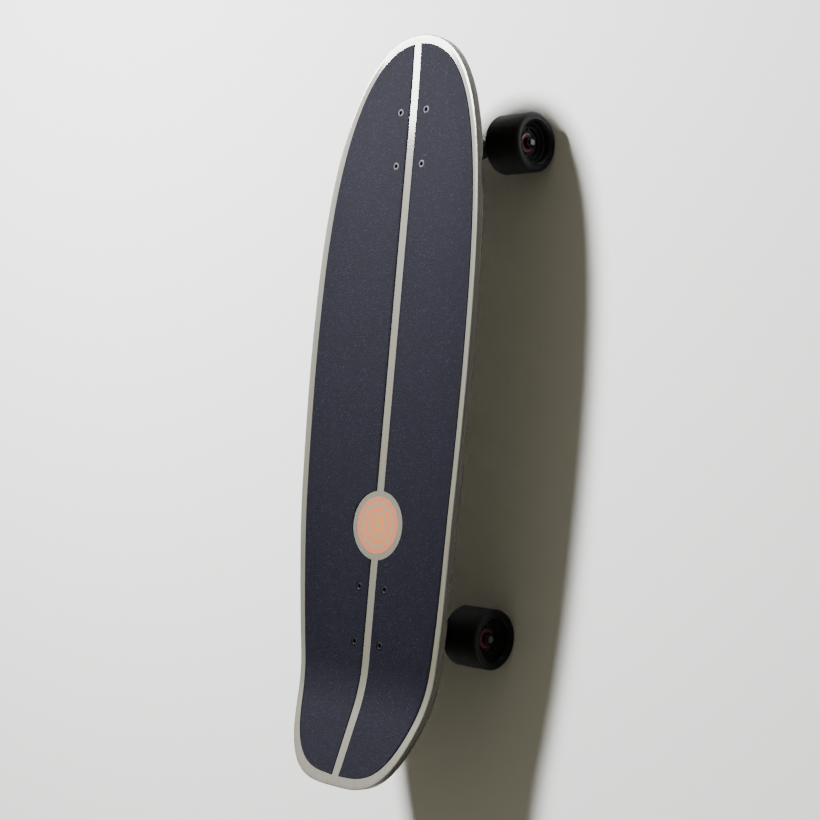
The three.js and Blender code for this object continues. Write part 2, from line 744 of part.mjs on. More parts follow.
// The kingpin: a hexagon head sunk in the seat, and its shank
function kingpin() {
  return joined(
    solid(prism(hexagon(kingpinHeadAcross), seatGap, seatGap + kingpinHeadHeight)),
    solid(turned([
      [0, seatGap + kingpinHeadHeight / 2], [kingpinRadius, seatGap + kingpinHeadHeight / 2],
      [kingpinRadius, kingpinTip - kingpinLength], [kingpinRadius - kingpinTip / 2, -kingpinLength],
      [0, -kingpinLength]], boreSides)));
}

// The board side bushing is a barrel and the road side one tapers to its washer, both on the kingpin
function bushing(top, length, radii) {
  const bore = kingpinRadius + boreGap;
  const outer = radii.map((radius, i) => [radius, -top - length * i / (radii.length - 1)]);
  return solid(turned([[bore, -top], ...outer, [bore, -top - length], [bore, -top]]));
}

// The cup washer: a thin disc whose rim turns up round the bushing's end
function cupWasher() {
  const bore = kingpinRadius + boreGap;
  const low = -washerTop - washerThickness;
  const rim = bushingEndRadius + washerDish + boreGap;
  return solid(turned([
    [bore, low], [washerRadius - washerDish, low], [washerRadius, low + washerDish],
    [washerRadius, washerDish - washerTop], [rim, washerDish - washerTop], [rim, -washerTop],
    [bore, -washerTop], [bore, low]], boreSides));
}

// The pivot cup: a soft thimble in the housing, round the hanger's stem
function pivotCup() {
  const bore = stemTipRadius + boreGap;
  return solid(turned([
    [0, cupReach], [cupRadius - seatGap * 2, cupReach], [cupRadius, cupReach - seatGap * 2],
    [cupRadius, -cupMouth], [bore + seatGap * 2, -cupMouth], [bore, seatGap * 2 - cupMouth],
    [bore, cupReach - cupFloor], [0, cupReach - cupFloor]]));
}

// The hanger: axle barrel, ring round the kingpin, gusset between them, and the stem to the pivot cup
function hanger() {
  const axleFrame = new THREE.Matrix4().makeTranslation(axleOutboard, 0, -axleBelowSeat);
  const acrossFrame = axleFrame.clone().multiply(new THREE.Matrix4().makeRotationX(-Math.PI / 2));
  const lugTop = -ringTop - (ringThickness - gussetLugThickness) / 2;
  const stemTip = cupReach - cupFloor - seatGap;
  const gusset = new ConvexGeometry([
    ...circleIn(kingpinFrame, gussetLugRadius, lugTop),
    ...circleIn(kingpinFrame, gussetLugRadius, lugTop - gussetLugThickness),
    ...circleIn(acrossFrame, gussetBarrelRadius, gussetHalfSpan),
    ...circleIn(acrossFrame, gussetBarrelRadius, -gussetHalfSpan),
  ]);
  const root = new ConvexGeometry([
    ...circleIn(leanFrame, rootRadius, -rootFromPivot),
    ...circleIn(leanFrame, rootRadius, -rootFromPivot - rootRadius),
    ...circleIn(acrossFrame, gussetBarrelRadius, rootHalfSpan),
    ...circleIn(acrossFrame, gussetBarrelRadius, -rootHalfSpan),
  ]);
  const stem = turned([
    [0, stemTip], [stemTipRadius / 2, stemTip - seatGap], [stemTipRadius, stemTip - stemTipRadius / 2],
    [stemTipRadius, -housingMouth - stemTipRadius / 2], [rootRadius - seatGap, -rootFromPivot - seatGap],
    [0, -rootFromPivot - seatGap]], boreSides);
  const barrelHalf = [
    [0, shoulderHalf], [barrelEndRadius - seatGap * 4, shoulderHalf],
    [barrelEndRadius, shoulderHalf - seatGap * 4], [barrelEndRadius, barrelNeckHalf],
    [barrelMiddleRadius, barrelNeckHalf / 2]];
  const mirrored = barrelHalf.toReversed().map(([radius, height]) => [radius, -height]);
  const roomAround = washerRadius + swingClearance + seatGap * 4;
  const cast = cutBy(
    joined(
      placed(turnedAcross([...barrelHalf, ...mirrored], turnedSides), axleFrame),
      solid(gusset),
      solid(root),
      placed(stem, leanFrame)),
    placed(bar(roomAround, -ringTop, overrun * 2), kingpinFrame),
    placed(bar(roomAround, -kingpinLength - overrun, -ringTop - ringThickness), kingpinFrame),
    placed(bar(ringRadius - seatGap, -kingpinLength, 0), kingpinFrame));
  return joined(
    cast,
    placed(tube(ringHoleRadius, ringRadius, -ringTop - ringThickness, -ringTop), kingpinFrame),
    placed(turnedAcross([[0, -axleHalf], [axleRadius - axleTip, -axleHalf], [axleRadius, axleTip - axleHalf],
      [axleRadius, axleHalf - axleTip], [axleRadius - axleTip, axleHalf], [0, axleHalf]], boreSides), axleFrame));
}

// The tyre: a wide tread with round edges, and a mouth that narrows to the core on each side
function tyre() {
  const half = wheelWidth / 2;
  const coreOut = bearingOuterFace + coreProud;
  const coreIn = bearingInnerFace - coreProud;
  const quarter = wheelEdgeRound * (1 - Math.SQRT1_2);
  const mouth = (side, lip, core) => [
    [tyreBoreRadius, core],
    [lip, side * (half - wheelLipRound)],
    [lip + wheelLipRound, side * half],
    [wheelRadius - wheelEdgeRound, side * half],
    [wheelRadius - quarter, side * (half - quarter)],
    [wheelRadius, side * (half - wheelEdgeRound)],
  ];
  return solid(turnedAcross([
    ...mouth(1, wheelLipRadius, coreOut),
    ...mouth(-1, wheelInnerLipRadius, coreIn).reverse(),
    [tyreBoreRadius, coreOut],
  ], wheelSides));
}

// The core: a rim and a hub joined by a web and spokes, with a ledge between its two bearing seats
function wheelCore() {
  const out = bearingOuterFace + coreProud;
  const inn = bearingInnerFace - coreProud;
  const rim = coreRadius - coreRimWall;
  const hub = coreBoreRadius + coreHubWall;
  const ledgeOut = bearingOuterFace - bearingWidth - seatGap;
  const ledgeIn = bearingInnerFace + bearingWidth + seatGap;
  const ledge = coreBoreRadius - coreLedge;
  const turnedCore = turnedAcross([
    [coreRadius, out], [rim, out], [rim, out - coreGroove], [hub, out - coreGroove], [hub, out],
    [coreBoreRadius, out], [coreBoreRadius, ledgeOut], [ledge, ledgeOut], [ledge, ledgeIn],
    [coreBoreRadius, ledgeIn], [coreBoreRadius, inn], [coreRadius, inn], [coreRadius, out]], boreSides);
  const middle = (rim + hub) / 2;
  const spokeLow = out - coreGroove - coreProud;
  const spokeHigh = out - spokeSunk;
  const spokes = Array.from({ length: spokeCount }, (_, i) => solid(
    new THREE.BoxGeometry(rim - hub + coreRimWall, spokeHigh - spokeLow, spokeThickness)
      .translate(middle, (spokeHigh + spokeLow) / 2, 0)
      .rotateY(i * Math.PI * 2 / spokeCount)));
  return joined(solid(turnedCore), ...spokes);
}

// Two ball bearings and the spacer between their inner races
function bearingSet() {
  const out = bearingOuterFace;
  const sunk = out - bearingShieldSunk;
  const gapTop = out - bearingWidth;
  const gapLow = bearingInnerFace + bearingWidth;
  return solid(turnedAcross([
    [bearingBoreRadius, out], [bearingInnerRace, out], [bearingInnerRace, sunk], [bearingOuterRace, sunk],
    [bearingOuterRace, out], [bearingRadius, out], [bearingRadius, gapTop], [spacerRadius, gapTop],
    [spacerRadius, gapLow], [bearingRadius, gapLow], [bearingRadius, bearingInnerFace],
    [bearingBoreRadius, bearingInnerFace], [bearingBoreRadius, out]], boreSides));
}

// Finishes, as the photograph shows them or as such parts are finished
const finish = (color, roughness, metalness) => new THREE.MeshStandardMaterial({ color, roughness, metalness });
const finishes = {
  deck: () => finish(0xd8d3bd, 0.45, 0),
  grip: () => finish(0x34343d, 0.95, 0),
  steel: () => finish(0xa9adb3, 0.35, 1),
  blackSteel: () => finish(0x26262a, 0.4, 1),
  casting: () => finish(0x1c1c1f, 0.5, 0.6),
  riser: () => finish(0x1a1a1b, 0.8, 0),
  spring: () => finish(0xb6b9bd, 0.3, 1),
  bushing: () => finish(0x8a2a2a, 0.5, 0),
  tyre: () => finish(0x1e1d20, 0.55, 0),
  core: () => finish(0x151518, 0.5, 0),
  bearing: () => finish(0x7c2735, 0.45, 0.4),
};

// Adds a named piece to a group
function add(group, name, made, material) {
  const mesh = new THREE.Mesh(geometryOf(made), material);
  mesh.name = name;
  group.add(mesh);
  return mesh;
}

// A group at the place and turn of a frame
function groupAt(parent, frame) {
  const group = new THREE.Group();
  frame.decompose(group.position, group.quaternion, group.scale);
  parent.add(group);
  return group;
}

// Kingpin, bushings, washer, nut, cup and hanger under a seat, with the wheels at its axle
function addHangerUnit(seat, end, sides) {
  const stack = groupAt(seat, kingpinFrame);
  add(stack, `${end}_kingpin`, kingpin(), finishes.blackSteel());
  const barrel = [bushingWaistRadius, bushingRadius, bushingWaistRadius];
  add(stack, `${end}_board_bushing`, bushing(boardBushingTop, boardBushingLength, barrel), finishes.bushing());
  const cone = [bushingRadius, bushingRadius, bushingEndRadius];
  add(stack, `${end}_road_bushing`, bushing(roadBushingTop, roadBushingLength, cone), finishes.bushing());
  add(stack, `${end}_cup_washer`, cupWasher(), finishes.steel());
  const nut = lockNut(
    kingpinNutAcross, kingpinNutHeight * 0.7, kingpinNutHeight * 0.3,
    kingpinNutCollarRadius, kingpinRadius + boreGap);
  add(stack, `${end}_kingpin_nut`, nut, finishes.steel()).position.z = -kingpinNutTop;
  add(groupAt(seat, leanFrame), `${end}_pivot_cup`, pivotCup(), finishes.riser());
  add(seat, `${end}_hanger`, hanger(), finishes.casting());
  sides.forEach((side, i) => {
    const wheel = new THREE.Group();
    wheel.position.set(axleOutboard, i === 0 ? trackHalf : -trackHalf, -axleBelowSeat);
    wheel.rotation.z = i === 0 ? 0 : Math.PI;
    seat.add(wheel);
    add(wheel, `${end}_${side}_tyre`, tyre(), finishes.tyre());
    add(wheel, `${end}_${side}_core`, wheelCore(), finishes.core());
    add(wheel, `${end}_${side}_bearings`, bearingSet(), finishes.bearing());
    const axleNut = lockNut(
      axleNutAcross, axleNutHeight * 0.7, axleNutHeight * 0.3, axleRadius + boreGap * 3, axleRadius + boreGap);
    const nutMesh = add(wheel, `${end}_${side}_axle_nut`, axleNut, finishes.steel());
    nutMesh.position.y = axleNutFace - trackHalf;
    nutMesh.rotation.x = Math.PI / 2;
  });
}

const skateboard = new THREE.Group();
const board = new THREE.Group();
const stations = planPoints(deckHalfWidth, noseReach, tailReach).map((point) => point.x);
board.position.set(-(Math.max(...stations) + Math.min(...stations)) / 2, 0, standHeight);
skateboard.add(board);

add(board, 'deck', deckSolid, finishes.deck());
add(board, 'grip_left', gripHalf(1), finishes.grip());
add(board, 'grip_right', gripHalf(-1), finishes.grip());

for (const [end, station, depth] of boltStations) {
  const headFinish = end === 'front' ? finishes.steel : finishes.blackSteel;
  boltPlaces.forEach(([along, across], i) => {
    const bolt = add(board, `${end}_deck_bolt_${i + 1}`, deckBolt(depth), headFinish());
    bolt.position.set(station + along, across, 0);
    const nut = lockNut(
      nutAcross, nutHexHeight, nutCollarHeight, nutCollarRadius, boltShankRadius + boreGap, boltSides);
    const nutMesh = add(board, `${end}_deck_nut_${i + 1}`, nut, finishes.blackSteel());
    nutMesh.position.set(station + along, across, -deckThickness - depth);
  });
}

const frontTruck = new THREE.Group();
frontTruck.position.set(patternStation, 0, -deckThickness);
board.add(frontTruck);
add(frontTruck, 'front_riser', riserPad(frontRiserThickness), finishes.riser());
add(frontTruck, 'front_base_plate', frontBasePlate(), finishes.casting());

const swivel = groupAt(frontTruck, steerFrame);
const boltHeadLow = pivotHeadTop - pivotBoltHeadHeight;
const pivotBolt = joined(
  solid(bar(pivotBoltHeadRadius, boltHeadLow, pivotHeadTop)),
  solid(bar(pivotBoltRadius, -pivotBoltLength, boltHeadLow + pivotBoltHeadHeight / 2, boreSides)));
add(swivel, 'pivot_bolt', pivotBolt, finishes.blackSteel());
const sleeve = solid(tube(pivotBoltRadius + boreGap, sleeveRadius, seatGap - capTop, -bossDepth - seatGap));
add(swivel, 'pivot_sleeve', sleeve, finishes.steel());
const thrustMiddle = -thrustTop - thrustThickness / 2;
const thrustBearing = solid(turned([
  [sleeveRadius + boreGap, -thrustTop], [thrustRadius, -thrustTop],
  [thrustRadius, thrustMiddle + thrustGroove / 2], [thrustRadius - thrustGroove, thrustMiddle + thrustGroove / 2],
  [thrustRadius - thrustGroove, thrustMiddle - thrustGroove / 2], [thrustRadius, thrustMiddle - thrustGroove / 2],
  [thrustRadius, -thrustTop - thrustThickness], [sleeveRadius + boreGap, -thrustTop - thrustThickness],
  [sleeveRadius + boreGap, -thrustTop]]));
add(swivel, 'thrust_bearing', thrustBearing, finishes.steel());
const springTube = solid(tubeThrough(springPoints, springWireRadius, springSides));
add(swivel, 'return_spring', springTube, finishes.spring());
add(swivel, 'spring_cap', springCap(), finishes.casting()).position.z = -capTop;
const pivotNut = lockNut(
  pivotNutAcross, pivotNutHeight * 0.7, pivotNutHeight * 0.3, pivotNutCollarRadius, pivotBoltRadius + boreGap);
add(swivel, 'pivot_nut', pivotNut, finishes.steel()).position.z = -pivotNutTop;

const frontSeat = new THREE.Group();
frontSeat.position.z = -frontSeatDepth;
frontTruck.add(frontSeat);
add(frontSeat, 'swing_arm', swingArm(), finishes.casting());
addHangerUnit(frontSeat, 'front', ['left', 'right']);

const rearTruck = new THREE.Group();
rearTruck.position.set(-patternStation, 0, -deckThickness);
rearTruck.rotation.z = Math.PI;
board.add(rearTruck);
add(rearTruck, 'rear_riser', riserPad(rearRiserThickness), finishes.riser());
add(rearTruck, 'rear_base_plate', rearBasePlate(), finishes.casting());

const rearSeat = new THREE.Group();
rearSeat.position.set(rearUnitShift, 0, -frontSeatDepth);
rearTruck.add(rearSeat);
addHangerUnit(rearSeat, 'rear', ['right', 'left']);

export default skateboard;
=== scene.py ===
"""The looks of a surf skateboard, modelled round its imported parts.

Every piece is built in millimetres in the frame that its sub-assembly has on the bench, and then placed
in the frame's metres. Each class holds one sub-assembly's sizes, builds its meshes and dresses them.
"""

import json
import logging
import math
from collections.abc import Callable, Sequence
from dataclasses import dataclass
from enum import Enum

import bmesh
import bpy
from mathutils import Matrix, Vector

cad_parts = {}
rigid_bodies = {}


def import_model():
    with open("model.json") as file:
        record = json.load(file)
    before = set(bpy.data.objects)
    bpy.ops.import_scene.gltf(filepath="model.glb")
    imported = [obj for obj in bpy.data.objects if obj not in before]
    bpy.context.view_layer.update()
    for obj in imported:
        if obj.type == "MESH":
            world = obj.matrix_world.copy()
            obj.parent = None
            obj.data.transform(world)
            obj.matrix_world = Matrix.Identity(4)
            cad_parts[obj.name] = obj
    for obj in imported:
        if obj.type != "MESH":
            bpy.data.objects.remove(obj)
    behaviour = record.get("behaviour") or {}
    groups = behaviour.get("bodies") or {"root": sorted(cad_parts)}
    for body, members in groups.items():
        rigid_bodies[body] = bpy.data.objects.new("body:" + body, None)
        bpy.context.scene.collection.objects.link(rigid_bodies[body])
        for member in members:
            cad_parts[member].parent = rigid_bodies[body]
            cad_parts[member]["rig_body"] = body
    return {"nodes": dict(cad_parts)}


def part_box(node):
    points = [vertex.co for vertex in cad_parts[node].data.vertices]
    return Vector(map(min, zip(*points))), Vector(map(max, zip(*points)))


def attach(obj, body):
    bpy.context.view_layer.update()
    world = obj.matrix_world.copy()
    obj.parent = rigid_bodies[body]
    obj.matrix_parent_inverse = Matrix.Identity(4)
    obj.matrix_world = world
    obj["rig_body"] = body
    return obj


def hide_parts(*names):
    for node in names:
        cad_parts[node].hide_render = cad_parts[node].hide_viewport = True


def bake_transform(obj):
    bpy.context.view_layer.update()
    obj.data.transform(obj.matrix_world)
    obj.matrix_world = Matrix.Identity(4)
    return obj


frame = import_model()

log = logging.getLogger("surf_skateboard")

MM = 0.001
FULL_TURN = 2 * math.pi

Point = tuple[float, float]
Place = tuple[float, float, float]
Ring = Callable[[float], Point]
Socket = bpy.types.NodeSocket

# The Mix node's colour inputs and its colour result, by number.
MIX_A = 6
MIX_B = 7
MIX_RESULT = 2


def linear(code: str) -> tuple[float, float, float, float]:
    """Turns an sRGB hex colour into linear light.

    Args:
        code: The colour, such as "#c0ffee".

    Returns:
        Red, green, blue and an alpha of one.
    """
    channels = [int(code[i:i + 2], 16) / 255 for i in (1, 3, 5)]
    light = [c / 12.92 if c <= 0.04045 else ((c + 0.055) / 1.055) ** 2.4 for c in channels]
    return (light[0], light[1], light[2], 1.0)


def per(size: float) -> float:
    """The texture scale that makes one step of a pattern that many millimetres wide."""
    return 1 / (size * MM)


def add_node(tree: bpy.types.NodeTree, kind: str, values: dict[str | int, object]) -> bpy.types.Node:
    """Adds a shader node.

    Args:
        tree: The material's node tree.
        kind: The node's kind, without its prefix, such as "TexNoise".
        values: Its own properties, and its inputs by name or number: each a value, or a socket to link.

    Returns:
        The new node.
    """
    node = tree.nodes.new("ShaderNode" + kind)
    for key, value in values.items():
        if isinstance(value, Socket):
            tree.links.new(value, node.inputs[key])
        elif isinstance(key, str) and hasattr(node, key):
            setattr(node, key, value)
        else:
            node.inputs[key].default_value = value
    return node


class Paint:
    """A material's node tree, with short ways to the few nodes that the finishes share."""

    def __init__(self, material: bpy.types.Material) -> None:
        """Takes up the material's tree and its Principled shader."""
        self.tree = material.node_tree
        self.inputs = self.tree.nodes["Principled BSDF"].inputs

    def set(self, name: str, value: object) -> None:
        """Gives a socket of the shader a value, or links a pattern to it."""
        if isinstance(value, Socket):
            self.tree.links.new(value, self.inputs[name])
        else:
            self.inputs[name].default_value = value

    def add(self, kind: str, **values: object) -> bpy.types.Node:
        """Adds a node, its properties and inputs given by name."""
        return add_node(self.tree, kind, dict(values))

    def place(self) -> Socket:
        """The place on the object, in metres."""
        return self.add("TexCoord").outputs["Object"]

    def sum(self, operation: str, *terms: float | Socket) -> Socket:
        """One step of arithmetic on numbers or sockets."""
        return add_node(self.tree, "Math", {"operation": operation, **dict(enumerate(terms))}).outputs[0]

    def noise(self, size: float | Place, detail: float = 2.0) -> Socket:
        """Noise whose grains have a real size.

        Args:
            size: The grain's length in millimetres, the same on all axes or one for each.
            detail: How many finer layers lie over it.

        Returns:
            The socket that gives the noise, from zero to one.
        """
        sizes = size if isinstance(size, tuple) else (size,) * 3
        mapped = self.add("Mapping", Scale=[per(s) for s in sizes], Vector=self.place()).outputs["Vector"]
        return self.add("TexNoise", Scale=1.0, Detail=detail, Vector=mapped).outputs["Fac"]

    def spread(self, source: Socket, span: Point, result: Point = (0.0, 1.0)) -> Socket:
        """Stretches a value from one range to another, held at both ends.

        Args:
            source: The value.
            span: The range that it has.
            result: The range that it gets.

        Returns:
            The socket that gives the result.
        """
        ranges = {"From Min": span[0], "From Max": span[1], "To Min": result[0], "To Max": result[1]}
        return self.add("MapRange", Value=source, **ranges).outputs["Result"]

    def mixed(self, share: Socket, first: str | Socket, second: str | Socket) -> Socket:
        """Mixes two colours.

        Args:
            share: Zero where the first shows and one where the second does.
            first: A hex colour or a colour socket.
            second: A hex colour or a colour socket.

        Returns:
            The socket that gives the mixed colour.
        """
        colours = [linear(c) if isinstance(c, str) else c for c in (first, second)]
        values = {"data_type": "RGBA", 0: share, MIX_A: colours[0], MIX_B: colours[1]}
        return add_node(self.tree, "Mix", values).outputs[MIX_RESULT]

    def bump(self, height: Socket, depth: float, strength: float) -> None:
        """Gives the surface relief.

        Args:
            height: The relief, from zero to one.
            depth: How deep a whole step of it is, in millimetres.
            strength: The share of it that shows.
        """
        relief = self.add("Bump", Strength=strength, Distance=depth * MM, Height=height)
        self.set("Normal", relief.outputs["Normal"])


@dataclass(frozen=True)
class Finish:
    """A plain surface, and the base of the patterned ones.

    Attributes:
        name: What the surface is made of and how it was made.
        colour: Its sRGB colour.
        roughness: How matt it is.
        metallic: One for a bare metal.
        coat: The weight of a clear coat.
        coat_roughness: How matt that coat is.
        specular: How strong the surface's own mirror light is, a half being its usual strength.
        middle: The middle range of a noise, in which a gloss that varies does so.
    """

    name: str
    colour: str
    roughness: float
    metallic: float = 0.0
    coat: float = 0.0
    coat_roughness: float = 0.1
    specular: float = 0.5
    middle: Point = (0.3, 0.7)

    def material(self) -> bpy.types.Material:
        """The Blender material of this finish, made the first time that it is asked for."""
        found = bpy.data.materials.get(self.name)
        if found:
            return found
        material = bpy.data.materials.new(self.name)
        material.use_nodes = True
        material.diffuse_color = linear(self.colour)
        paint = Paint(material)
        paint.set("Base Color", linear(self.colour))
        paint.set("Roughness", self.roughness)
        paint.set("Metallic", self.metallic)
        paint.set("Specular IOR Level", self.specular)
        paint.set("Coat Weight", self.coat)
        paint.set("Coat Roughness", self.coat_roughness)
        self.pattern(paint)
        return material

    def pattern(self, paint: Paint) -> None:
        """Adds what varies over the surface, which is nothing on a plain one."""

    def uneven(self, paint: Paint, source: Socket, low: float, high: float) -> None:
        """Varies the roughness with a noise.

        Args:
            paint: The material's nodes.
            source: The noise.
            low: The share of the finish's roughness at the noise's low end.
            high: The share at its high end.
        """
        span = (self.roughness * low, self.roughness * high)
        paint.set("Roughness", paint.spread(source, self.middle, span))


@dataclass(frozen=True)
class LacqueredMaple(Finish):
    """Rotary-cut maple veneer under satin lacquer: long faint grain with short dark pores."""

    grain: str = "#605d4d"
    grain_size: Place = (120.0, 2.2, 2.2)
    grain_range: Point = (0.42, 0.68)
    pore_size: Place = (9.0, 0.55, 0.55)
    pore_range: Point = (0.35, 0.6)
    pore_depth: float = 0.03

    def face(self, paint: Paint) -> Socket:
        """The veneer's colour with its grain."""
        share = paint.spread(paint.noise(self.grain_size, 3), self.grain_range)
        return paint.mixed(share, self.colour, self.grain)

    def pores(self, paint: Paint) -> None:
        """Pores that barely dent the lacquer."""
        paint.bump(paint.spread(paint.noise(self.pore_size), self.pore_range), self.pore_depth, 0.5)


@dataclass(frozen=True)
class PressedPly(LacqueredMaple):
    """Seven maple veneers: the top one tinted pale, the rest stained dark and painted darker still as shade,
    with glue lines at the rail.
    """

    stain_and_shade: str = "#2e2a18"
    cross_grain_and_shade: str = "#3c3722"
    glue: str = "#17140c"
    ply: float = 1.505
    top_veneer: Point = (0.9, 1.1)
    streak_range: Point = (0.35, 0.75)
    glue_share: float = 0.14
    rail_coat: float = 0.2

    def pattern(self, paint: Paint) -> None:
        """Pale lacquered face, and below it the stained plies in their turn, painted darker as shade."""
        depth = paint.add("Attribute", attribute_name="ply_depth").outputs["Fac"]
        pair = paint.sum("FRACT", paint.sum("DIVIDE", depth, self.ply * 2))
        # The plies under the top veneer: a dark stain, deepened as painted shade on the rail and the
        # underside.
        plies = paint.mixed(paint.sum("GREATER_THAN", pair, 0.5), self.stain_and_shade, self.cross_grain_and_shade)
        within = paint.sum("FRACT", paint.sum("DIVIDE", depth, self.ply))
        lined = paint.mixed(paint.sum("LESS_THAN", within, self.glue_share), plies, self.glue)
        streaks = paint.spread(paint.noise(self.grain_size, 3), self.streak_range)
        dark = paint.mixed(streaks, lined, self.glue)
        paint.set("Base Color", paint.mixed(paint.spread(depth, self.top_veneer), self.face(paint), dark))
        paint.set("Coat Weight", paint.spread(depth, self.top_veneer, (self.coat, self.rail_coat)))
        self.pores(paint)


@dataclass(frozen=True)
class SandedGrit(Finish):
    """Silicon carbide grit glued to cloth: near black, slightly violet, a few crystal faces smoother and
    painted lighter as a glint.

    The real grit is 0.2 mm. It is drawn at 1.1 mm, because a finer one wouldn't show.
    """

    light: str = "#15151f"
    painted_glint: str = "#22222e"
    tint: str = "#d8d8f2"
    grit: float = 1.1
    mottle: float = 11.0
    mottle_range: Point = (0.35, 0.7)
    mottle_share: float = 0.45
    painted_glint_range: Point = (0.96, 0.98)
    smooth_range: Point = (0.94, 0.99)
    glint_roughness: float = 0.56

    def pattern(self, paint: Paint) -> None:
        """Crystals of many greys over a faint mottle, a few of them smoother and painted lighter as a glint.
        """
        cells = paint.add("TexVoronoi", Scale=per(self.grit), Vector=paint.place())
        tone = paint.add("SeparateColor", Color=cells.outputs["Color"])
        greys = paint.mixed(tone.outputs["Red"], self.colour, self.light)
        broad = paint.spread(paint.noise(self.mottle, 3), self.mottle_range, (0, self.mottle_share))
        # A few crystals are painted a lighter grey as a glint; the roughness below also makes them smoother.
        painted_glint_share = paint.spread(tone.outputs["Green"], self.painted_glint_range)
        paint.set("Base Color", paint.mixed(painted_glint_share, paint.mixed(broad, greys, self.colour), self.painted_glint))
        rough = (self.roughness, self.glint_roughness)
        paint.set("Roughness", paint.spread(tone.outputs["Green"], self.smooth_range, rough))
        paint.set("Specular Tint", linear(self.tint))
        paint.bump(cells.outputs["Distance"], 0.25, 0.6)


@dataclass(frozen=True)
class ScreenPrint(Finish):
    """Ink screened on the lacquer: a round of scalloped rings in peach and coral on the pale ground."""

    ground: str = "#807358"
    second: str = "#a85c40"
    centre: float = -137.606
    radius: float = 33.0
    scallops: float = 12.0
    rings: float = 3.0
    swing: float = 0.05
    ring_range: Point = (0.42, 0.37)
    tone_range: Point = (0.25, 0.95)
    grain_size: Place = (8.0, 0.6, 0.6)

    def pattern(self, paint: Paint) -> None:
        """Rings whose radius swings round the field, alternating with the bare ground."""
        off = [-self.centre * MM, 0.0, 0.0]
        mapping = paint.add("Mapping", Location=off, Scale=[1.0, 1.0, 0.0], Vector=paint.place())
        flat = mapping.outputs["Vector"]
        parts = paint.add("SeparateXYZ", Vector=flat).outputs
        angle = paint.sum("ARCTAN2", parts["Y"], parts["X"])
        length = add_node(paint.tree, "VectorMath", {"operation": "LENGTH", 0: flat}).outputs["Value"]
        share = paint.sum("MULTIPLY", length, per(self.radius))
        wave = paint.sum("COSINE", paint.sum("MULTIPLY", angle, self.scallops))
        swung = paint.sum("MULTIPLY_ADD", wave, self.swing, share)
        within = paint.sum("FRACT", paint.sum("MULTIPLY", swung, self.rings))
        tones = paint.mixed(paint.spread(share, self.tone_range), self.colour, self.second)
        paint.set("Base Color", paint.mixed(paint.spread(within, self.ring_range), tones, self.ground))
        paint.bump(paint.noise(self.grain_size), 0.02, 0.5)


@dataclass(frozen=True)
class TurnedMetal(Finish):
    """Metal from a lathe or a die, plated or blackened: fine scratches and faint stains."""

    worn: str = "#8f9195"
    stain: float = 6.0
    stain_range: Point = (0.45, 0.75)
    scratch: Place = (0.35, 1.4, 0.35)

    def pattern(self, paint: Paint) -> None:
        """Uneven gloss and fine marks."""
        stain = paint.noise(self.stain, 4)
        share = paint.spread(stain, self.stain_range, (0, 0.5))
        paint.set("Base Color", paint.mixed(share, self.colour, self.worn))
        self.uneven(paint, stain, 0.8, 1.3)
        paint.bump(paint.noise(self.scratch), 0.02, 0.5)


@dataclass(frozen=True)
class PaintedCasting(Finish):
    """Gravity-cast aluminium under satin black paint: sandy skin, greyer where an edge rubs."""

    worn: str = "#3a3a3e"
    rub: float = 5.0
    edge_range: Point = (0.52, 0.6)
    sand: float = 0.9

    def pattern(self, paint: Paint) -> None:
        """Cast skin in the relief, and paler edges."""
        rub = paint.noise(self.rub, 4)
        edges = paint.spread(paint.add("NewGeometry").outputs["Pointiness"], self.edge_range)
        paint.set("Base Color", paint.mixed(paint.sum("MULTIPLY", edges, rub), self.colour, self.worn))
        self.uneven(paint, rub, 0.85, 1.2)
        paint.bump(paint.noise(self.sand, 3), 0.12, 0.6)


@dataclass(frozen=True)
class MouldedRubber(Finish):
    """Rubber or nylon from a mould: matt, with a fine even texture and a little bloom.

    Attributes:
        bloom: The width of its changes of gloss, and their detail.
        bloom_shares: The shares of its roughness between which they go.
        skin: The grain of its relief, and that grain's detail.
        relief: The relief's depth in millimetres, and the share of it that shows.
    """

    bloom: Point = (14.0, 3)
    bloom_shares: Point = (0.9, 1.1)
    skin: Point = (0.6, 2)
    relief: Point = (0.05, 0.4)

    def pattern(self, paint: Paint) -> None:
        """The bloom in the gloss, and the mould's texture."""
        self.uneven(paint, paint.noise(*self.bloom), *self.bloom_shares)
        paint.bump(paint.noise(*self.skin), *self.relief)


@dataclass(frozen=True)
class CastUrethane(MouldedRubber):
    """Urethane poured in a smooth mould: slow changes of a satin gloss over a nearly smooth skin."""

    bloom: Point = (16.0, 2)
    bloom_shares: Point = (0.85, 1.2)
    skin: Point = (1.4, 3)
    relief: Point = (0.015, 0.5)


@dataclass(frozen=True)
class GroundUrethane(Finish):
    """A wheel's tread, ground true on its axle: matt, with fine lines round it, the axle lying along Y."""

    line: Place = (30.0, 0.7, 30.0)

    def pattern(self, paint: Paint) -> None:
        """Grinding lines in the gloss and the relief."""
        lines = paint.noise(self.line)
        self.uneven(paint, lines, 0.9, 1.15)
        paint.bump(lines, 0.04, 0.6)


@dataclass(frozen=True)
class RolledPaint(Finish):
    """Wall paint put on with a roller: matt, with a faint stipple."""

    stipple: float = 2.5

    def pattern(self, paint: Paint) -> None:
        """The roller's stipple."""
        paint.bump(paint.noise(self.stipple), 0.05, 0.3)


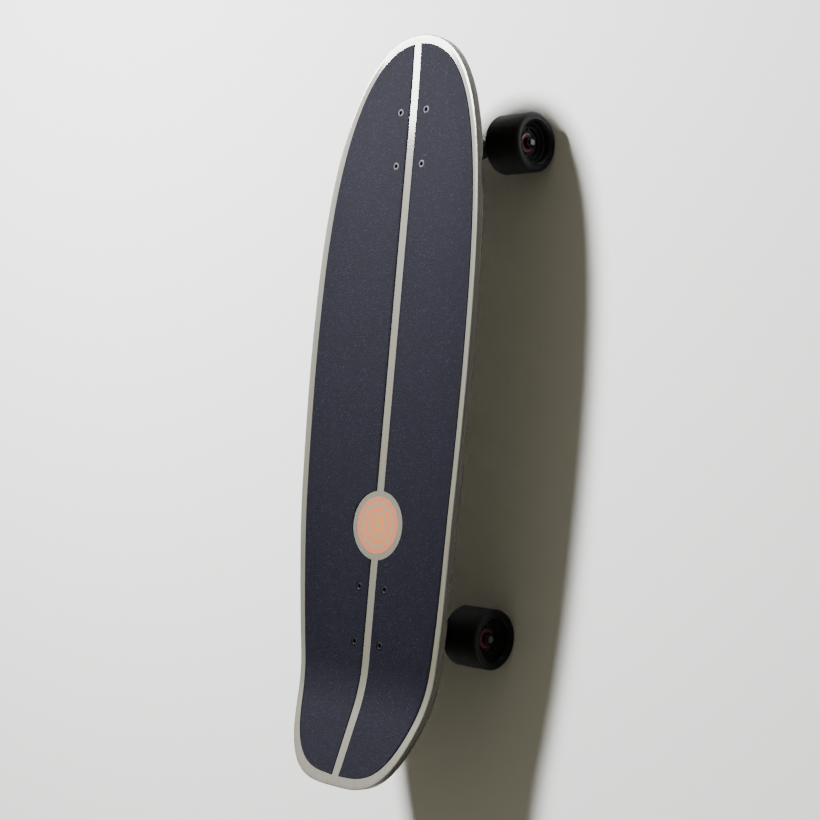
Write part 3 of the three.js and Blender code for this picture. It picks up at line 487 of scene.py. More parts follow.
class Surface(Enum):
    """The board's finishes, each with what it gives the eye."""

    # A pale satin face and stripe, and a dark layered rail whose plies are painted darker as shade.
    DECK = PressedPly("maple_ply_lacquered", "#66655a", 0.5, coat=0.7, specular=0.2)
    # A dry, dark violet field that pales softly toward the light, with tiny painted glints on smoother
    # crystals.
    GRIP = SandedGrit("grit_sheet_silicon_carbide", "#0a0a10", 0.62, specular=0.058)
    # The one warm spot on the board.
    PRINT = ScreenPrint("screen_print_peach", "#b86526", 0.6, coat=0.2, coat_roughness=0.15, specular=0.2)
    # Bright grey nuts, washers and the sleeve, which tell the truck's hardware from its castings.
    STEEL = TurnedMetal("steel_zinc_plated", "#a9abb0", 0.3, 1.0)
    # The front bolts: the rear bolts' black steel painted a shade lighter, as painted light for the brighter
    # nose end; their rim catches a thin ring of light.
    BOLT_HEAD_PAINTED_LIT = TurnedMetal("bolt_steel_painted_lit", "#2b2b2e", 0.5, 1.0, worn="#222225")
    # A dull grey axle end in the dark of the wheel.
    AXLE_STEEL = TurnedMetal("axle_steel_ground", "#66686c", 0.4, 1.0, worn="#4e5054")
    # Nearly black fasteners that show only by a soft gleam.
    BLACK_STEEL = TurnedMetal("steel_black_oxide", "#1c1c1f", 0.45, 1.0, worn="#303033")
    # Two fine bright circles round the shield.
    RACE = TurnedMetal("bearing_steel_ground", "#8b8d91", 0.22, 1.0, worn="#77797d")
    # A dark red ring deep in the wheel.
    SHIELD = MouldedRubber("bearing_shield_rubber_red", "#620c26", 0.4, specular=0.3)
    # Clean drawn wire with a line of light along each turn.
    SPRING = TurnedMetal("spring_wire_drawn", "#9a9ca1", 0.28, 1.0)
    # Soft black metal with rounded, slightly worn edges.
    CASTING = PaintedCasting("cast_aluminium_painted_black", "#131314", 0.44)
    # A hint of gold between the thrust washers.
    BRASS = TurnedMetal("ball_cage_brass", "#8f7340", 0.35, 1.0, worn="#6d5a38")
    # Dull black pads that part the castings from the deck.
    RISER = MouldedRubber("riser_rubber_black", "#18181a", 0.7)
    # A dull black lining round the hanger's stem.
    PIVOT_CUP = MouldedRubber("pivot_cup_urethane", "#1d1d1f", 0.6)
    # The trucks' only colour: wine red, with a wide soft gleam.
    BUSHING = CastUrethane("bushing_urethane_red", "#7c2430", 0.36)
    # The off-white ring in a lock nut.
    NYLON = Finish("lock_insert_nylon", "#c9c6bb", 0.5)
    # Black side faces that mirror the room faintly at their lips.
    TYRE = CastUrethane("wheel_urethane_black", "#121214", 0.36, specular=0.12)
    # A tread a shade greyer and much duller than the side faces.
    TREAD = GroundUrethane("wheel_tread_ground", "#1f1f21", 0.75, specular=0.15)
    # A black core that sinks behind its spokes.
    CORE = MouldedRubber("wheel_core_glass_nylon", "#101011", 0.5, specular=0.2)
    # A white ground that takes the shadow and gives no gloss back.
    FLOOR = RolledPaint("floor_pale_matt", "#eeeeee", 0.8, specular=0.0)


class Form:
    """A mesh in the making: points in millimetres, faces, and which finish each face has.

    Attributes:
        points: The points.
        faces: Each face's point numbers.
        finish_of: Each face's finish, by its number.
        depths: How deep each point lies below a top face, on a form that needs it.
    """

    def __init__(self) -> None:
        """Starts with nothing."""
        self.points: list[Vector] = []
        self.faces: list[Sequence[int]] = []
        self.finish_of: list[int] = []
        self.depths: list[float] = []

    def loft(
        self, rows: Sequence[Sequence[Vector]], finishes: Sequence[int] = (), loop: bool = False,
        closed: bool = True, caps: tuple[bool, bool] = (False, False),
    ) -> "Form":
        """Adds rows of as many points each, and joins each row to the next by faces.

        Args:
            rows: The rows.
            finishes: The finish of the faces after each row, 0 where this ends early.
            loop: Whether the last row joins the first.
            closed: Whether each row is a ring.
            caps: Whether one face closes the first row, and one the last.

        Returns:
            This form.
        """
        numbered = []
        for row in rows:
            start = len(self.points)
            self.points.extend(row)
            numbered.append(range(start, len(self.points)))
        if loop:
            numbered.append(numbered[0])
        for number, (first, second) in enumerate(zip(numbered, numbered[1:])):
            count = len(first)
            for i in range(count if closed else count - 1):
                j = (i + 1) % count
                self.faces.append([first[i], first[j], second[j], second[i]])
                self.finish_of.append(finishes[number] if number < len(finishes) else 0)
        for is_capped, row in zip(caps, (numbered[0], numbered[-1])):
            if is_capped:
                self.faces.append(list(row))
                self.finish_of.append(0)
        return self

    def join(self, *others: "Form") -> "Form":
        """Adds other forms' shells to this one, and returns it."""
        for other in others:
            start = len(self.points)
            self.points.extend(other.points)
            self.faces.extend([[start + i for i in face] for face in other.faces])
            self.finish_of.extend(other.finish_of)
        return self

    def moved(self, matrix: Matrix) -> "Form":
        """The same form in another place."""
        made = Form().join(self)
        made.points = [matrix @ p for p in made.points]
        return made

    def mesh(self, name: str, matrix: Matrix) -> bpy.types.Mesh:
        """The Blender mesh, merged and with its faces pointing out.

        Args:
            name: The mesh's name.
            matrix: Where it goes, in millimetres.

        Returns:
            The mesh in metres.
        """
        mesh = bpy.data.meshes.new(name)
        mesh.from_pydata([matrix @ p * MM for p in self.points], [], self.faces)
        mesh.polygons.foreach_set("material_index", self.finish_of)
        if self.depths:
            mesh.attributes.new("ply_depth", "FLOAT", "POINT").data.foreach_set("value", self.depths)
        work = bmesh.new()
        work.from_mesh(mesh)
        bmesh.ops.remove_doubles(work, verts=work.verts, dist=0.002 * MM)
        bmesh.ops.dissolve_degenerate(work, edges=work.edges, dist=0.001 * MM)
        bmesh.ops.recalc_face_normals(work, faces=work.faces)
        work.to_mesh(mesh)
        work.free()
        return mesh


class Cut(Enum):
    """What a step does to the solid before it."""

    ADD = "UNION"
    CUT = "DIFFERENCE"


# A casting's soft skin: the grid that it is laid on in millimetres, the passes that round its corners,
# how far each pass goes, and the share of its faces that is kept.
SKIN_GRID = 0.7
SKIN_PASSES = 8
SKIN_PASS_SHARE = 0.5
SKIN_FACE_SHARE = 0.35


def new_object(mesh: bpy.types.Mesh, name: str = "") -> bpy.types.Object:
    """An object of the scene for a mesh, under the mesh's name or its own."""
    made = bpy.data.objects.new(name or mesh.name, mesh)
    bpy.context.scene.collection.objects.link(made)
    return made


def worked(
    name: str, form: Form, matrix: Matrix, steps: Sequence[tuple[Cut, Form]], bores: Sequence[Form] = (),
    is_cast: bool = False,
) -> bpy.types.Mesh:
    """Joins and cuts a form, as a foundry and a machine shop would.

    Args:
        name: The mesh's name.
        form: The first solid.
        matrix: Where it goes, in millimetres.
        steps: What is added or cut, in turn.
        bores: What is machined out last.
        is_cast: Whether a skin with soft corners is laid over the solid before its bores.

    Returns:
        The worked mesh.
    """
    made = new_object(form.mesh(name, matrix))
    helpers = []

    def step(way: Cut, other: Form) -> None:
        """Joins a form to the solid or cuts it out."""
        helpers.append(new_object(other.mesh("helper", matrix)))
        join = made.modifiers.new("join", "BOOLEAN")
        join.operation = way.value
        join.solver = "EXACT"
        join.object = helpers[-1]

    for way, other in steps:
        step(way, other)
    if is_cast:
        skin = made.modifiers.new("skin", "REMESH")
        skin.mode = "VOXEL"
        skin.voxel_size = SKIN_GRID * MM
        soft = made.modifiers.new("soft", "SMOOTH")
        soft.iterations = SKIN_PASSES
        soft.factor = SKIN_PASS_SHARE
        made.modifiers.new("fewer", "DECIMATE").ratio = SKIN_FACE_SHARE
    for bore in bores:
        step(Cut.CUT, bore)
    bpy.context.view_layer.update()
    graph = bpy.context.evaluated_depsgraph_get()
    mesh = bpy.data.meshes.new_from_object(made.evaluated_get(graph), depsgraph=graph)
    for spare in [made, *helpers]:
        spare_mesh = spare.data
        bpy.data.objects.remove(spare)
        bpy.data.meshes.remove(spare_mesh)
    mesh.name = name
    return mesh


@dataclass
class Piece:
    """A dressed piece of the board.

    Attributes:
        name: The piece's name.
        slot: The record's material slot; not used.
        surfaces: Its finishes, in the order that its faces number them.
        nodes: The nodes that it stands for.
        body: The body that it rides on, where no node says it.
        bends: Two bodies and the points where a bend starts and ends; only whether it is given is read, and
            such a piece is left on no body.
        crease: The angle between faces past which an edge stays sharp, in degrees.
    """

    name: str
    slot: str
    surfaces: Sequence[Surface]
    nodes: Sequence[str] = ()
    body: str = ""
    bends: tuple[str, str, Vector, Vector] | None = None
    crease: float = 32.0

    def made(self, mesh: bpy.types.Mesh) -> None:
        """Dresses a mesh, which is in the frame's metres, and puts it on its body, or bakes its place into
        the mesh where it has bends.
        """
        for surface in self.surfaces:
            mesh.materials.append(surface.value.material())
        mesh.polygons.foreach_set("use_smooth", [True] * len(mesh.polygons))
        mesh.set_sharp_from_angle(angle=math.radians(self.crease))
        made = new_object(mesh, self.name)
        if self.bends:
            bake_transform(made)
        else:
            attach(made, self.body or frame["nodes"][self.nodes[0]]["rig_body"])
        if self.nodes:
            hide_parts(*self.nodes)
        log.info("%s: %d faces", self.name, len(mesh.polygons))

    def from_form(self, form: Form, matrix: Matrix) -> None:
        """Dresses a form as it is."""
        self.made(form.mesh(self.name, matrix))


def cast(
    name: str, node: str, form: Form, matrix: Matrix, steps: Sequence[tuple[Cut, Form]],
    bores: Sequence[Form],
) -> None:
    """Makes a painted casting for a node, its solids joined, softened and then machined."""
    mesh = worked(name, form, matrix, steps, bores, is_cast=True)
    Piece(name, "casting", [Surface.CASTING], [node]).made(mesh)


def shift(x: float = 0.0, y: float = 0.0, z: float = 0.0) -> Matrix:
    """A move without a turn."""
    return Matrix.Translation((x, y, z))


def tilted(x: float, z: float, tilt: float) -> Matrix:
    """A frame in a truck's middle plane whose +Z leans outboard by a tilt in degrees."""
    return shift(x, 0, z) @ Matrix.Rotation(math.radians(tilt), 4, "Y")


def circle(
    radius: float, height: float, steps: int, x: float = 0.0, frame_at: Matrix | None = None,
) -> list[Vector]:
    """Points round a circle that lies level in its frame.

    Args:
        radius: Its radius.
        height: Its height.
        steps: How many points it has.
        x: Its middle's place on X.
        frame_at: Its frame, where that isn't the one it is used in.

    Returns:
        The points.
    """
    angles = [i * FULL_TURN / steps for i in range(steps)]
    points = [Vector((x + radius * math.cos(a), radius * math.sin(a), height)) for a in angles]
    return [frame_at @ p for p in points] if frame_at else points


def turned(
    rings: Sequence[Ring | Point], sides: int, finishes: Sequence[int] = (), loop: bool = False,
) -> Form:
    """A revolve about Z, whose rings may change their radius and height round the turn.

    Args:
        rings: The rings, each a point of radius and height or a function of the angle.
        sides: How many facets go round.
        finishes: The finish of the faces after each ring.
        loop: Whether the last ring joins the first, as on a tube.

    Returns:
        The form.
    """
    rows = []
    for ring in rings:
        row = []
        for i in range(sides):
            angle = i * FULL_TURN / sides
            radius, height = ring(angle) if callable(ring) else ring
            row.append(Vector((radius * math.cos(angle), radius * math.sin(angle), height)))
        rows.append(row)
    first, last = (not loop and (callable(ring) or ring[0] > 0) for ring in (rings[0], rings[-1]))
    return Form().loft(rows, finishes, loop, caps=(first, last))


def mirrored(half: Sequence[Point]) -> list[Point]:
    """A profile of radius and height, and then its mirror image below height zero."""
    return [*half, *[(radius, -height) for radius, height in reversed(half)]]


def eased(profile: Sequence[Point], radius: float, loop: bool = False) -> list[Point]:
    """A profile with its corners rounded.

    Args:
        profile: Points of radius and height.
        radius: How far from a corner its round starts.
        loop: Whether the profile closes on itself.

    Returns:
        The profile's points.
    """
    steps = 3
    made = []
    for i, corner in enumerate(profile):
        if not loop and i in (0, len(profile) - 1):
            made.append(corner)
            continue
        here = Vector(corner)
        before = Vector(profile[i - 1]) - here
        after = Vector(profile[(i + 1) % len(profile)]) - here
        reach = min(radius, before.length * 0.45, after.length * 0.45)
        start = here + before.normalized() * reach
        end = here + after.normalized() * reach
        for k in range(steps + 1):
            t = k / steps
            point = start * (1 - t) ** 2 + here * 2 * t * (1 - t) + end * t ** 2
            made.append((point.x, point.y))
    return made


def hexagon(across: float, height: float) -> Ring:
    """A hexagonal ring, by its width across flats, with a corner on X."""
    def place(angle: float) -> Point:
        return across / 2 / math.cos(angle % (FULL_TURN / 6) - FULL_TURN / 12), height
    return place


def chamfered(across: float, level: float, way: float) -> list[Ring]:
    """The two rings of a chamfer at a hexagon's end: the round crown, and the corners cut back under it.

    Args:
        across: The width across flats.
        level: The end's height.
        way: 1 where the hexagon lies above that end and -1 where it lies below.

    Returns:
        The crown's ring, then the corners' ring.
    """
    crown = across / 2 * 0.985
    slope = math.tan(math.radians(30))

    def corners(angle: float) -> Point:
        reach = hexagon(across, level)(angle)[0]
        return reach, level + way * max(0.0, reach - crown) * slope

    return [lambda angle: (min(corners(angle)[0], crown), level), corners]


def thread(radius: float, pitch: float, top: float, low: float) -> list[Ring]:
    """The rings of a screw thread from a top height down to a low one.

    Args:
        radius: The thread's outer radius.
        pitch: The height of one turn.
        top: Where it starts.
        low: Where it ends.

    Returns:
        The rings, whose radius climbs with the angle.
    """
    rings_per_turn = 4
    depth = 0.55 * pitch
    count = max(rings_per_turn, round((top - low) / pitch * rings_per_turn))

    def ring(height: float) -> Ring:
        def place(angle: float) -> Point:
            phase = (height / pitch - angle / FULL_TURN) % 1
            return radius - depth * (1 - abs(2 * phase - 1)), height
        return place

    return [ring(top + (low - top) * i / count) for i in range(count + 1)]


@dataclass(frozen=True)
class LockNut:
    """A lock nut that hangs from height zero: a chamfered hexagon and the collar that holds its insert.

    Attributes:
        across: The width across flats.
        hexagon_height: The hexagon's height.
        collar: The collar's height.
        collar_radius: The collar's radius.
        bore: The bore's radius.
        insert_share: How far out the insert reaches in the collar.
        ease: The size of its small chamfers.
    """

    across: float
    hexagon_height: float
    collar: float
    collar_radius: float
    bore: float
    insert_share: float = 0.6
    ease: float = 0.5

    def form(self) -> Form:
        """The nut, steel numbered 0 and the insert 1."""
        face = -self.hexagon_height
        end = face - self.collar
        insert = self.bore + (self.collar_radius - self.bore) * self.insert_share
        rings: list[Ring | Point] = [
            (self.bore, 0), (self.bore * 1.12, 0), *chamfered(self.across, 0.0, -1.0),
            *reversed(chamfered(self.across, face, 1.0)), (self.collar_radius + self.ease, face),
            (self.collar_radius, face - 0.3), (self.collar_radius, end + self.ease),
            (self.collar_radius - 0.4, end), (insert, end), (insert, end + 0.3), (self.bore, end + self.ease),
        ]
        return turned(rings, 48, [0] * (len(rings) - 2) + [1], loop=True)


def outline_circle(x: float, y: float, radius: float, start: float, end: float, steps: int) -> list[Point]:
    """Points of an arc, from one angle to another in degrees."""
    angles = [math.radians(start + (end - start) * i / steps) for i in range(steps + 1)]
    return [(x + radius * math.cos(a), y + radius * math.sin(a)) for a in angles]


def rounded_rectangle(length: float, width: float, corner: float) -> list[Point]:
    """The outline of a rectangle with round corners, centred."""
    x, y = length / 2 - corner, width / 2 - corner
    corners = [(x, y, 0), (-x, y, 90), (-x, -y, 180), (x, -y, 270)]
    return [p for cx, cy, turn in corners for p in outline_circle(cx, cy, corner, turn, turn + 90, 8)]


def link_outline(x1: float, radius1: float, x2: float, radius2: float) -> list[Point]:
    """Two discs on the X axis and the straight sides that touch both."""
    touch = math.degrees(math.acos((radius1 - radius2) / (x2 - x1)))
    first = outline_circle(x1, 0, radius1, touch, 360 - touch, 24)
    return [*first, *outline_circle(x2, 0, radius2, -touch, touch, 24)]


def edge_round(radius: float, steps: int) -> list[Point]:
    """How far in and how deep each step of an edge's round lies, from the flat face to the side."""
    quarter = [i * math.pi / 2 / steps for i in range(steps + 1)]
    return [(radius * (1 - math.sin(a)), radius * (1 - math.cos(a))) for a in quarter]


def plate(outline: Sequence[Point], low: float, high: float, edge: float = 0.0) -> Form:
    """An outline pulled up between two heights.

    Args:
        outline: The plan's points, anticlockwise.
        low: The lower face's height.
        high: The upper face's height.
        edge: The radius of the rounding, or zero for sharp edges.

    Returns:
        The form.
    """
    def inset(amount: float, height: float) -> list[Vector]:
        """The outline drawn in by an amount, at a height."""
        points = []
        for i, (x, y) in enumerate(outline):
            (x0, y0), (x1, y1) = outline[i - 1], outline[(i + 1) % len(outline)]
            along = Vector((x1 - x0, y1 - y0)).normalized()
            points.append(Vector((x - along.y * amount, y + along.x * amount, height)))
        return points

    sides = edge_round(edge, 3) if edge > 0 else [(0.0, 0.0)]
    levels = [(amount, low + depth) for amount, depth in sides]
    levels += [(amount, high - depth) for amount, depth in reversed(sides)]
    return Form().loft([inset(*level) for level in levels], caps=(True, True))


def hull(points: Sequence[Vector]) -> Form:
    """The convex hull of points."""
    work = bmesh.new()
    for point in points:
        work.verts.new(point)
    bmesh.ops.convex_hull(work, input=work.verts)
    kept = [v for v in work.verts if v.link_faces]
    numbers = {v: i for i, v in enumerate(kept)}
    made = Form()
    made.points = [v.co.copy() for v in kept]
    made.faces = [[numbers[v] for v in face.verts] for face in work.faces]
    made.finish_of = [0] * len(made.faces)
    work.free()
    return made


def bar(radius: float, low: float, high: float, sides: int = 48) -> Form:
    """A round bar, or what cuts a round hole."""
    return turned([(0, low), (radius, low), (radius, high), (0, high)], sides)


def tube(inner: float, outer: float, low: float, high: float, edge: float = 0.3, finish: int = 0) -> Form:
    """A pipe about Z with chamfered ends, all of one finish."""
    profile = [
        (inner, low + edge), (inner + edge, low), (outer - edge, low), (outer, low + edge),
        (outer, high - edge), (outer - edge, high), (inner + edge, high), (inner, high - edge),
    ]
    return turned(profile, 64, [finish] * len(profile), loop=True)


def wire(points: Sequence[Vector], radius: float) -> Form:
    """A round wire through points, closed at both ends, its sections carried along without a twist."""
    across = Vector((1, 0, 0))
    rows = []
    for i, point in enumerate(points):
        along = (points[min(i + 1, len(points) - 1)] - points[max(i - 1, 0)]).normalized()
        across = (across - along * across.dot(along)).normalized()
        other = along.cross(across)
        angles = [k * FULL_TURN / 16 for k in range(16)]
        rows.append([point + (across * math.cos(a) + other * math.sin(a)) * radius for a in angles])
    return Form().loft(rows, caps=(True, True))


@dataclass
class BoardShape:
    """The pressed board's plan and heights, measured from the point between its bolt patterns.

    The plan is three Bezier curves: nose tip to widest place, widest place to tail corner, and tail
    corner to tail tip. A share is of the half width across the board, and along it of the reach from the
    widest place to the nose or to the tail.
    """

    half_width: float = 128.6
    nose: float = 398.6
    tail: float = 468.0
    widest: float = 16.0
    nose_tip_share: float = 0.914
    nose_shoulder_share: float = 0.471
    waist_share: float = 0.116
    corner_along_share: float = 0.7726
    corner_across_share: float = 0.828
    corner_slope_share: float = 0.641
    corner_front_share: float = 0.222
    corner_back_share: float = 0.235
    tail_tip_share: float = 0.36
    curve_steps: tuple[int, int, int] = (110, 120, 90)
    thickness: float = 10.5
    rail_round: float = 1.2
    flat_half: float = 35.0
    concave_rise: float = 10.5
    concave_full_to: float = 140.0
    concave_gone_at: float = 400.0
    kick_start: float = 330.0
    kick_bend: float = 56.0
    kick_slope: float = 0.33
    lift_start: float = 300.0
    lift: float = 2.5
    wells: Point = (228.0, -244.0)
    drum_radius: float = 70.0
    drum_blend: float = 0.6
    well_depth: float = 5.0
    well_depth_at: float = 118.0
    well_starts_at: float = 74.0
    grip_top: float = 0.9
    hole_long: float = 63.5
    hole_wide: float = 41.28
    pattern: float = 277.25

    def placed(self) -> Matrix:
        """The board's frame in the row frame, from where its bolts and its front riser are."""
        middles = []
        for end in ("front", "rear"):
            low = min(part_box(f"{end}_deck_bolt_{i}")[0].x for i in range(1, 5))
            high = max(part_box(f"{end}_deck_bolt_{i}")[1].x for i in range(1, 5))
            middles.append((low + high) / 2)
        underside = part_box("front_riser")[1].z
        return shift(sum(middles) / 2 / MM, 0, underside / MM + self.thickness)

    def height(self, x: float, y: float) -> float:
        """The top face's height over its flat middle: kick, nose lift and concave."""
        back = max(0.0, -x - self.kick_start)
        bent = min(back, self.kick_bend)
        kick = self.kick_slope * (bent * bent / (2 * self.kick_bend) + back - bent)
        lift = self.lift * (max(0.0, x - self.lift_start) / (self.nose - self.lift_start)) ** 2
        share = (x + self.concave_gone_at) / (self.concave_gone_at - self.concave_full_to)
        share = min(1.0, max(0.0, share))
        fade = share * share * (3 - 2 * share)
        out = max(0.0, abs(y) - self.flat_half) / (self.half_width - self.flat_half)
        return kick + lift + self.concave_rise * fade * out * out

    def underside(self, x: float, y: float, height: float) -> float:
        """A lower face's height at a place, once the wheel wells are sanded into it with a drum."""
        for station in self.wells:
            away = abs(x - station)
            if away >= self.drum_radius:
                continue
            inner = self.height(station, self.well_starts_at) - self.thickness
            outer = self.height(station, self.well_depth_at) - self.thickness + self.well_depth
            share = (abs(y) - self.well_starts_at) / (self.well_depth_at - self.well_starts_at)
            crown = inner + (outer - inner) * share
            drum = crown - self.drum_radius + math.sqrt(self.drum_radius ** 2 - away ** 2)
            mix = min(1.0, max(0.0, 0.5 + (drum - height) / (2 * self.drum_blend)))
            height = height * (1 - mix) + drum * mix + self.drum_blend * mix * (1 - mix)
        return height

    def half_plan(
        self, inset_side: float = 0.0, inset_nose: float = 0.0, inset_tail: float = 0.0,
    ) -> list[Vector]:
        """The left half of the plan, from the nose tip to the tail tip.

        Args:
            inset_side: How much narrower each side is.
            inset_nose: How much shorter the nose is.
            inset_tail: How much shorter the tail is.

        Returns:
            The plan's points.
        """
        half = self.half_width - inset_side
        nose = self.nose - inset_nose
        tail = self.tail - inset_tail
        forward = nose - self.widest
        back = self.widest + tail
        corner = Vector((self.widest - back * self.corner_along_share, half * self.corner_across_share))
        run = Vector((back, half * self.corner_slope_share)).normalized()
        before = corner + run * back * self.corner_front_share
        behind = corner - run * back * self.corner_back_share
        side = Vector((self.widest, half))
        curves = [
            (Vector((nose, 0)), Vector((nose, half * self.nose_tip_share)),
             Vector((self.widest + forward * self.nose_shoulder_share, half)), side),
            (side, Vector((self.widest - back * self.waist_share, half)), before, corner),
            (corner, behind, Vector((-tail, half * self.tail_tip_share)), Vector((-tail, 0))),
        ]
        made = [curves[0][0]]
        for (a, b, c, d), count in zip(curves, self.curve_steps):
            for i in range(1, count + 1):
                t = i / count
                s = 1 - t
                made.append(a * s ** 3 + b * 3 * s * s * t + c * 3 * s * t * t + d * t ** 3)
        return made

    def bolt_places(self, *stations: float) -> list[Point]:
        """Where the four bolts of each pattern stand, whose middles are given."""
        return [
            (station + along * self.hole_long / 2, across * self.hole_wide / 2)
            for station in stations for along in (-1, 1) for across in (-1, 1)
        ]

    def at_bolts(self, form: Form, side: float = 0.0) -> Form:
        """A form repeated at all eight bolts, or at those of one side.

        Args:
            form: What stands at a bolt.
            side: 1 for the left side, -1 for the right one and 0 for both.

        Returns:
            The copies, as one form.
        """
        places = self.bolt_places(self.pattern, -self.pattern)
        return Form().join(*[form.moved(shift(x, y)) for x, y in places if y * side >= 0])


@dataclass
class Deck:
    """The ply deck: pressed, cut to its plan, rounded at the rail, drilled and sanded.

    Attributes:
        top_shares: How far from the rim to the spine each row of the top face lies.
        low_shares: The same for the underside, closer where the wells are.
        drill: The countersunk hole: the bore's and the head's radius, and the depth of the head's lip.
    """

    shape: BoardShape
    rail_steps: int = 4
    top_shares: Sequence[float] = (1, 0.85, 0.7, 0.56, 0.44, 0.33, 0.24, 0.16, 0.09, 0.04)
    low_shares: Sequence[float] = (
        0.015, 0.035, 0.06, 0.09, 0.12, 0.155, 0.19, 0.225, 0.26, 0.3, 0.34, 0.38, 0.43, 0.5, 0.6, 0.72,
        0.86, 1)
    spine_end_share: float = 0.62
    drill: Place = (2.7, 5.0, 0.9)

    def skin(self) -> Form:
        """The deck's skin, each point marked with how deep it lies below the top face."""
        shape = self.shape
        half = shape.half_plan()
        loop = [*half, *[Vector((p.x, -p.y)) for p in reversed(half[1:-1])]]
        count = len(loop)
        limits = [corner / MM - shape.placed().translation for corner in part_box("deck")]
        rows: list[list[Vector]] = []
        depths: list[float] = []

        def inset(amount: float) -> list[Vector]:
            """The plan drawn in by an amount, and held within the node's box."""
            made = []
            for i, p in enumerate(loop):
                step = (loop[(i + 1) % count] - loop[i - 1]).normalized() * amount
                made.append(Vector((
                    min(limits[1].x, max(limits[0].x, p.x - step.y)),
                    min(limits[1].y, max(limits[0].y, p.y + step.x)))))
            return made

        def add(points: Sequence[Vector], depth: float, is_low: bool) -> None:
            """Adds a row at a depth below the top face, sanded where it is on the underside."""
            levels = [min(limits[1].z, shape.height(p.x, p.y)) - depth for p in points]
            if is_low:
                levels = [shape.underside(p.x, p.y, z) for p, z in zip(points, levels)]
            rows.append([Vector((p.x, p.y, z)) for z, p in zip(levels, points)])
            depths.extend(shape.height(p.x, p.y) - z for p, z in zip(points, levels))

        spine = shape.half_width * self.spine_end_share
        rim = inset(shape.rail_round)

        def towards_spine(share: float) -> list[Vector]:
            """A row between the rim and the spine, by its share of the way."""
            middles = [Vector((min(max(p.x, spine - shape.tail), shape.nose - spine), 0)) for p in rim]
            return [p.lerp(middle, share) for p, middle in zip(rim, middles)]

        for share in self.top_shares:
            add(towards_spine(share), 0, False)
        rail = edge_round(shape.rail_round, self.rail_steps)
        for amount, depth in rail:
            add(inset(amount), depth, False)
        for amount, depth in reversed(rail):
            add(inset(amount), shape.thickness - depth, True)
        for share in self.low_shares:
            add(towards_spine(share), shape.thickness, True)
        form = Form().loft(rows)
        form.depths = depths
        return form

    def build(self) -> None:
        """Makes the deck with its countersunk bolt holes, and stands it for its node."""
        shape = self.shape
        bore, head, lip = self.drill
        top = shape.grip_top
        below = -shape.thickness * 2
        cone = top - lip - head + bore
        hole = turned([(0, top), (head, top), (head, top - lip), (bore, cone), (bore, below), (0, below)], 32)
        mesh = worked("pressed_deck", self.skin(), shape.placed(), [(Cut.CUT, shape.at_bolts(hole))])
        Piece("pressed_deck", "deck", [Surface.DECK], ["deck"], crease=40).made(mesh)


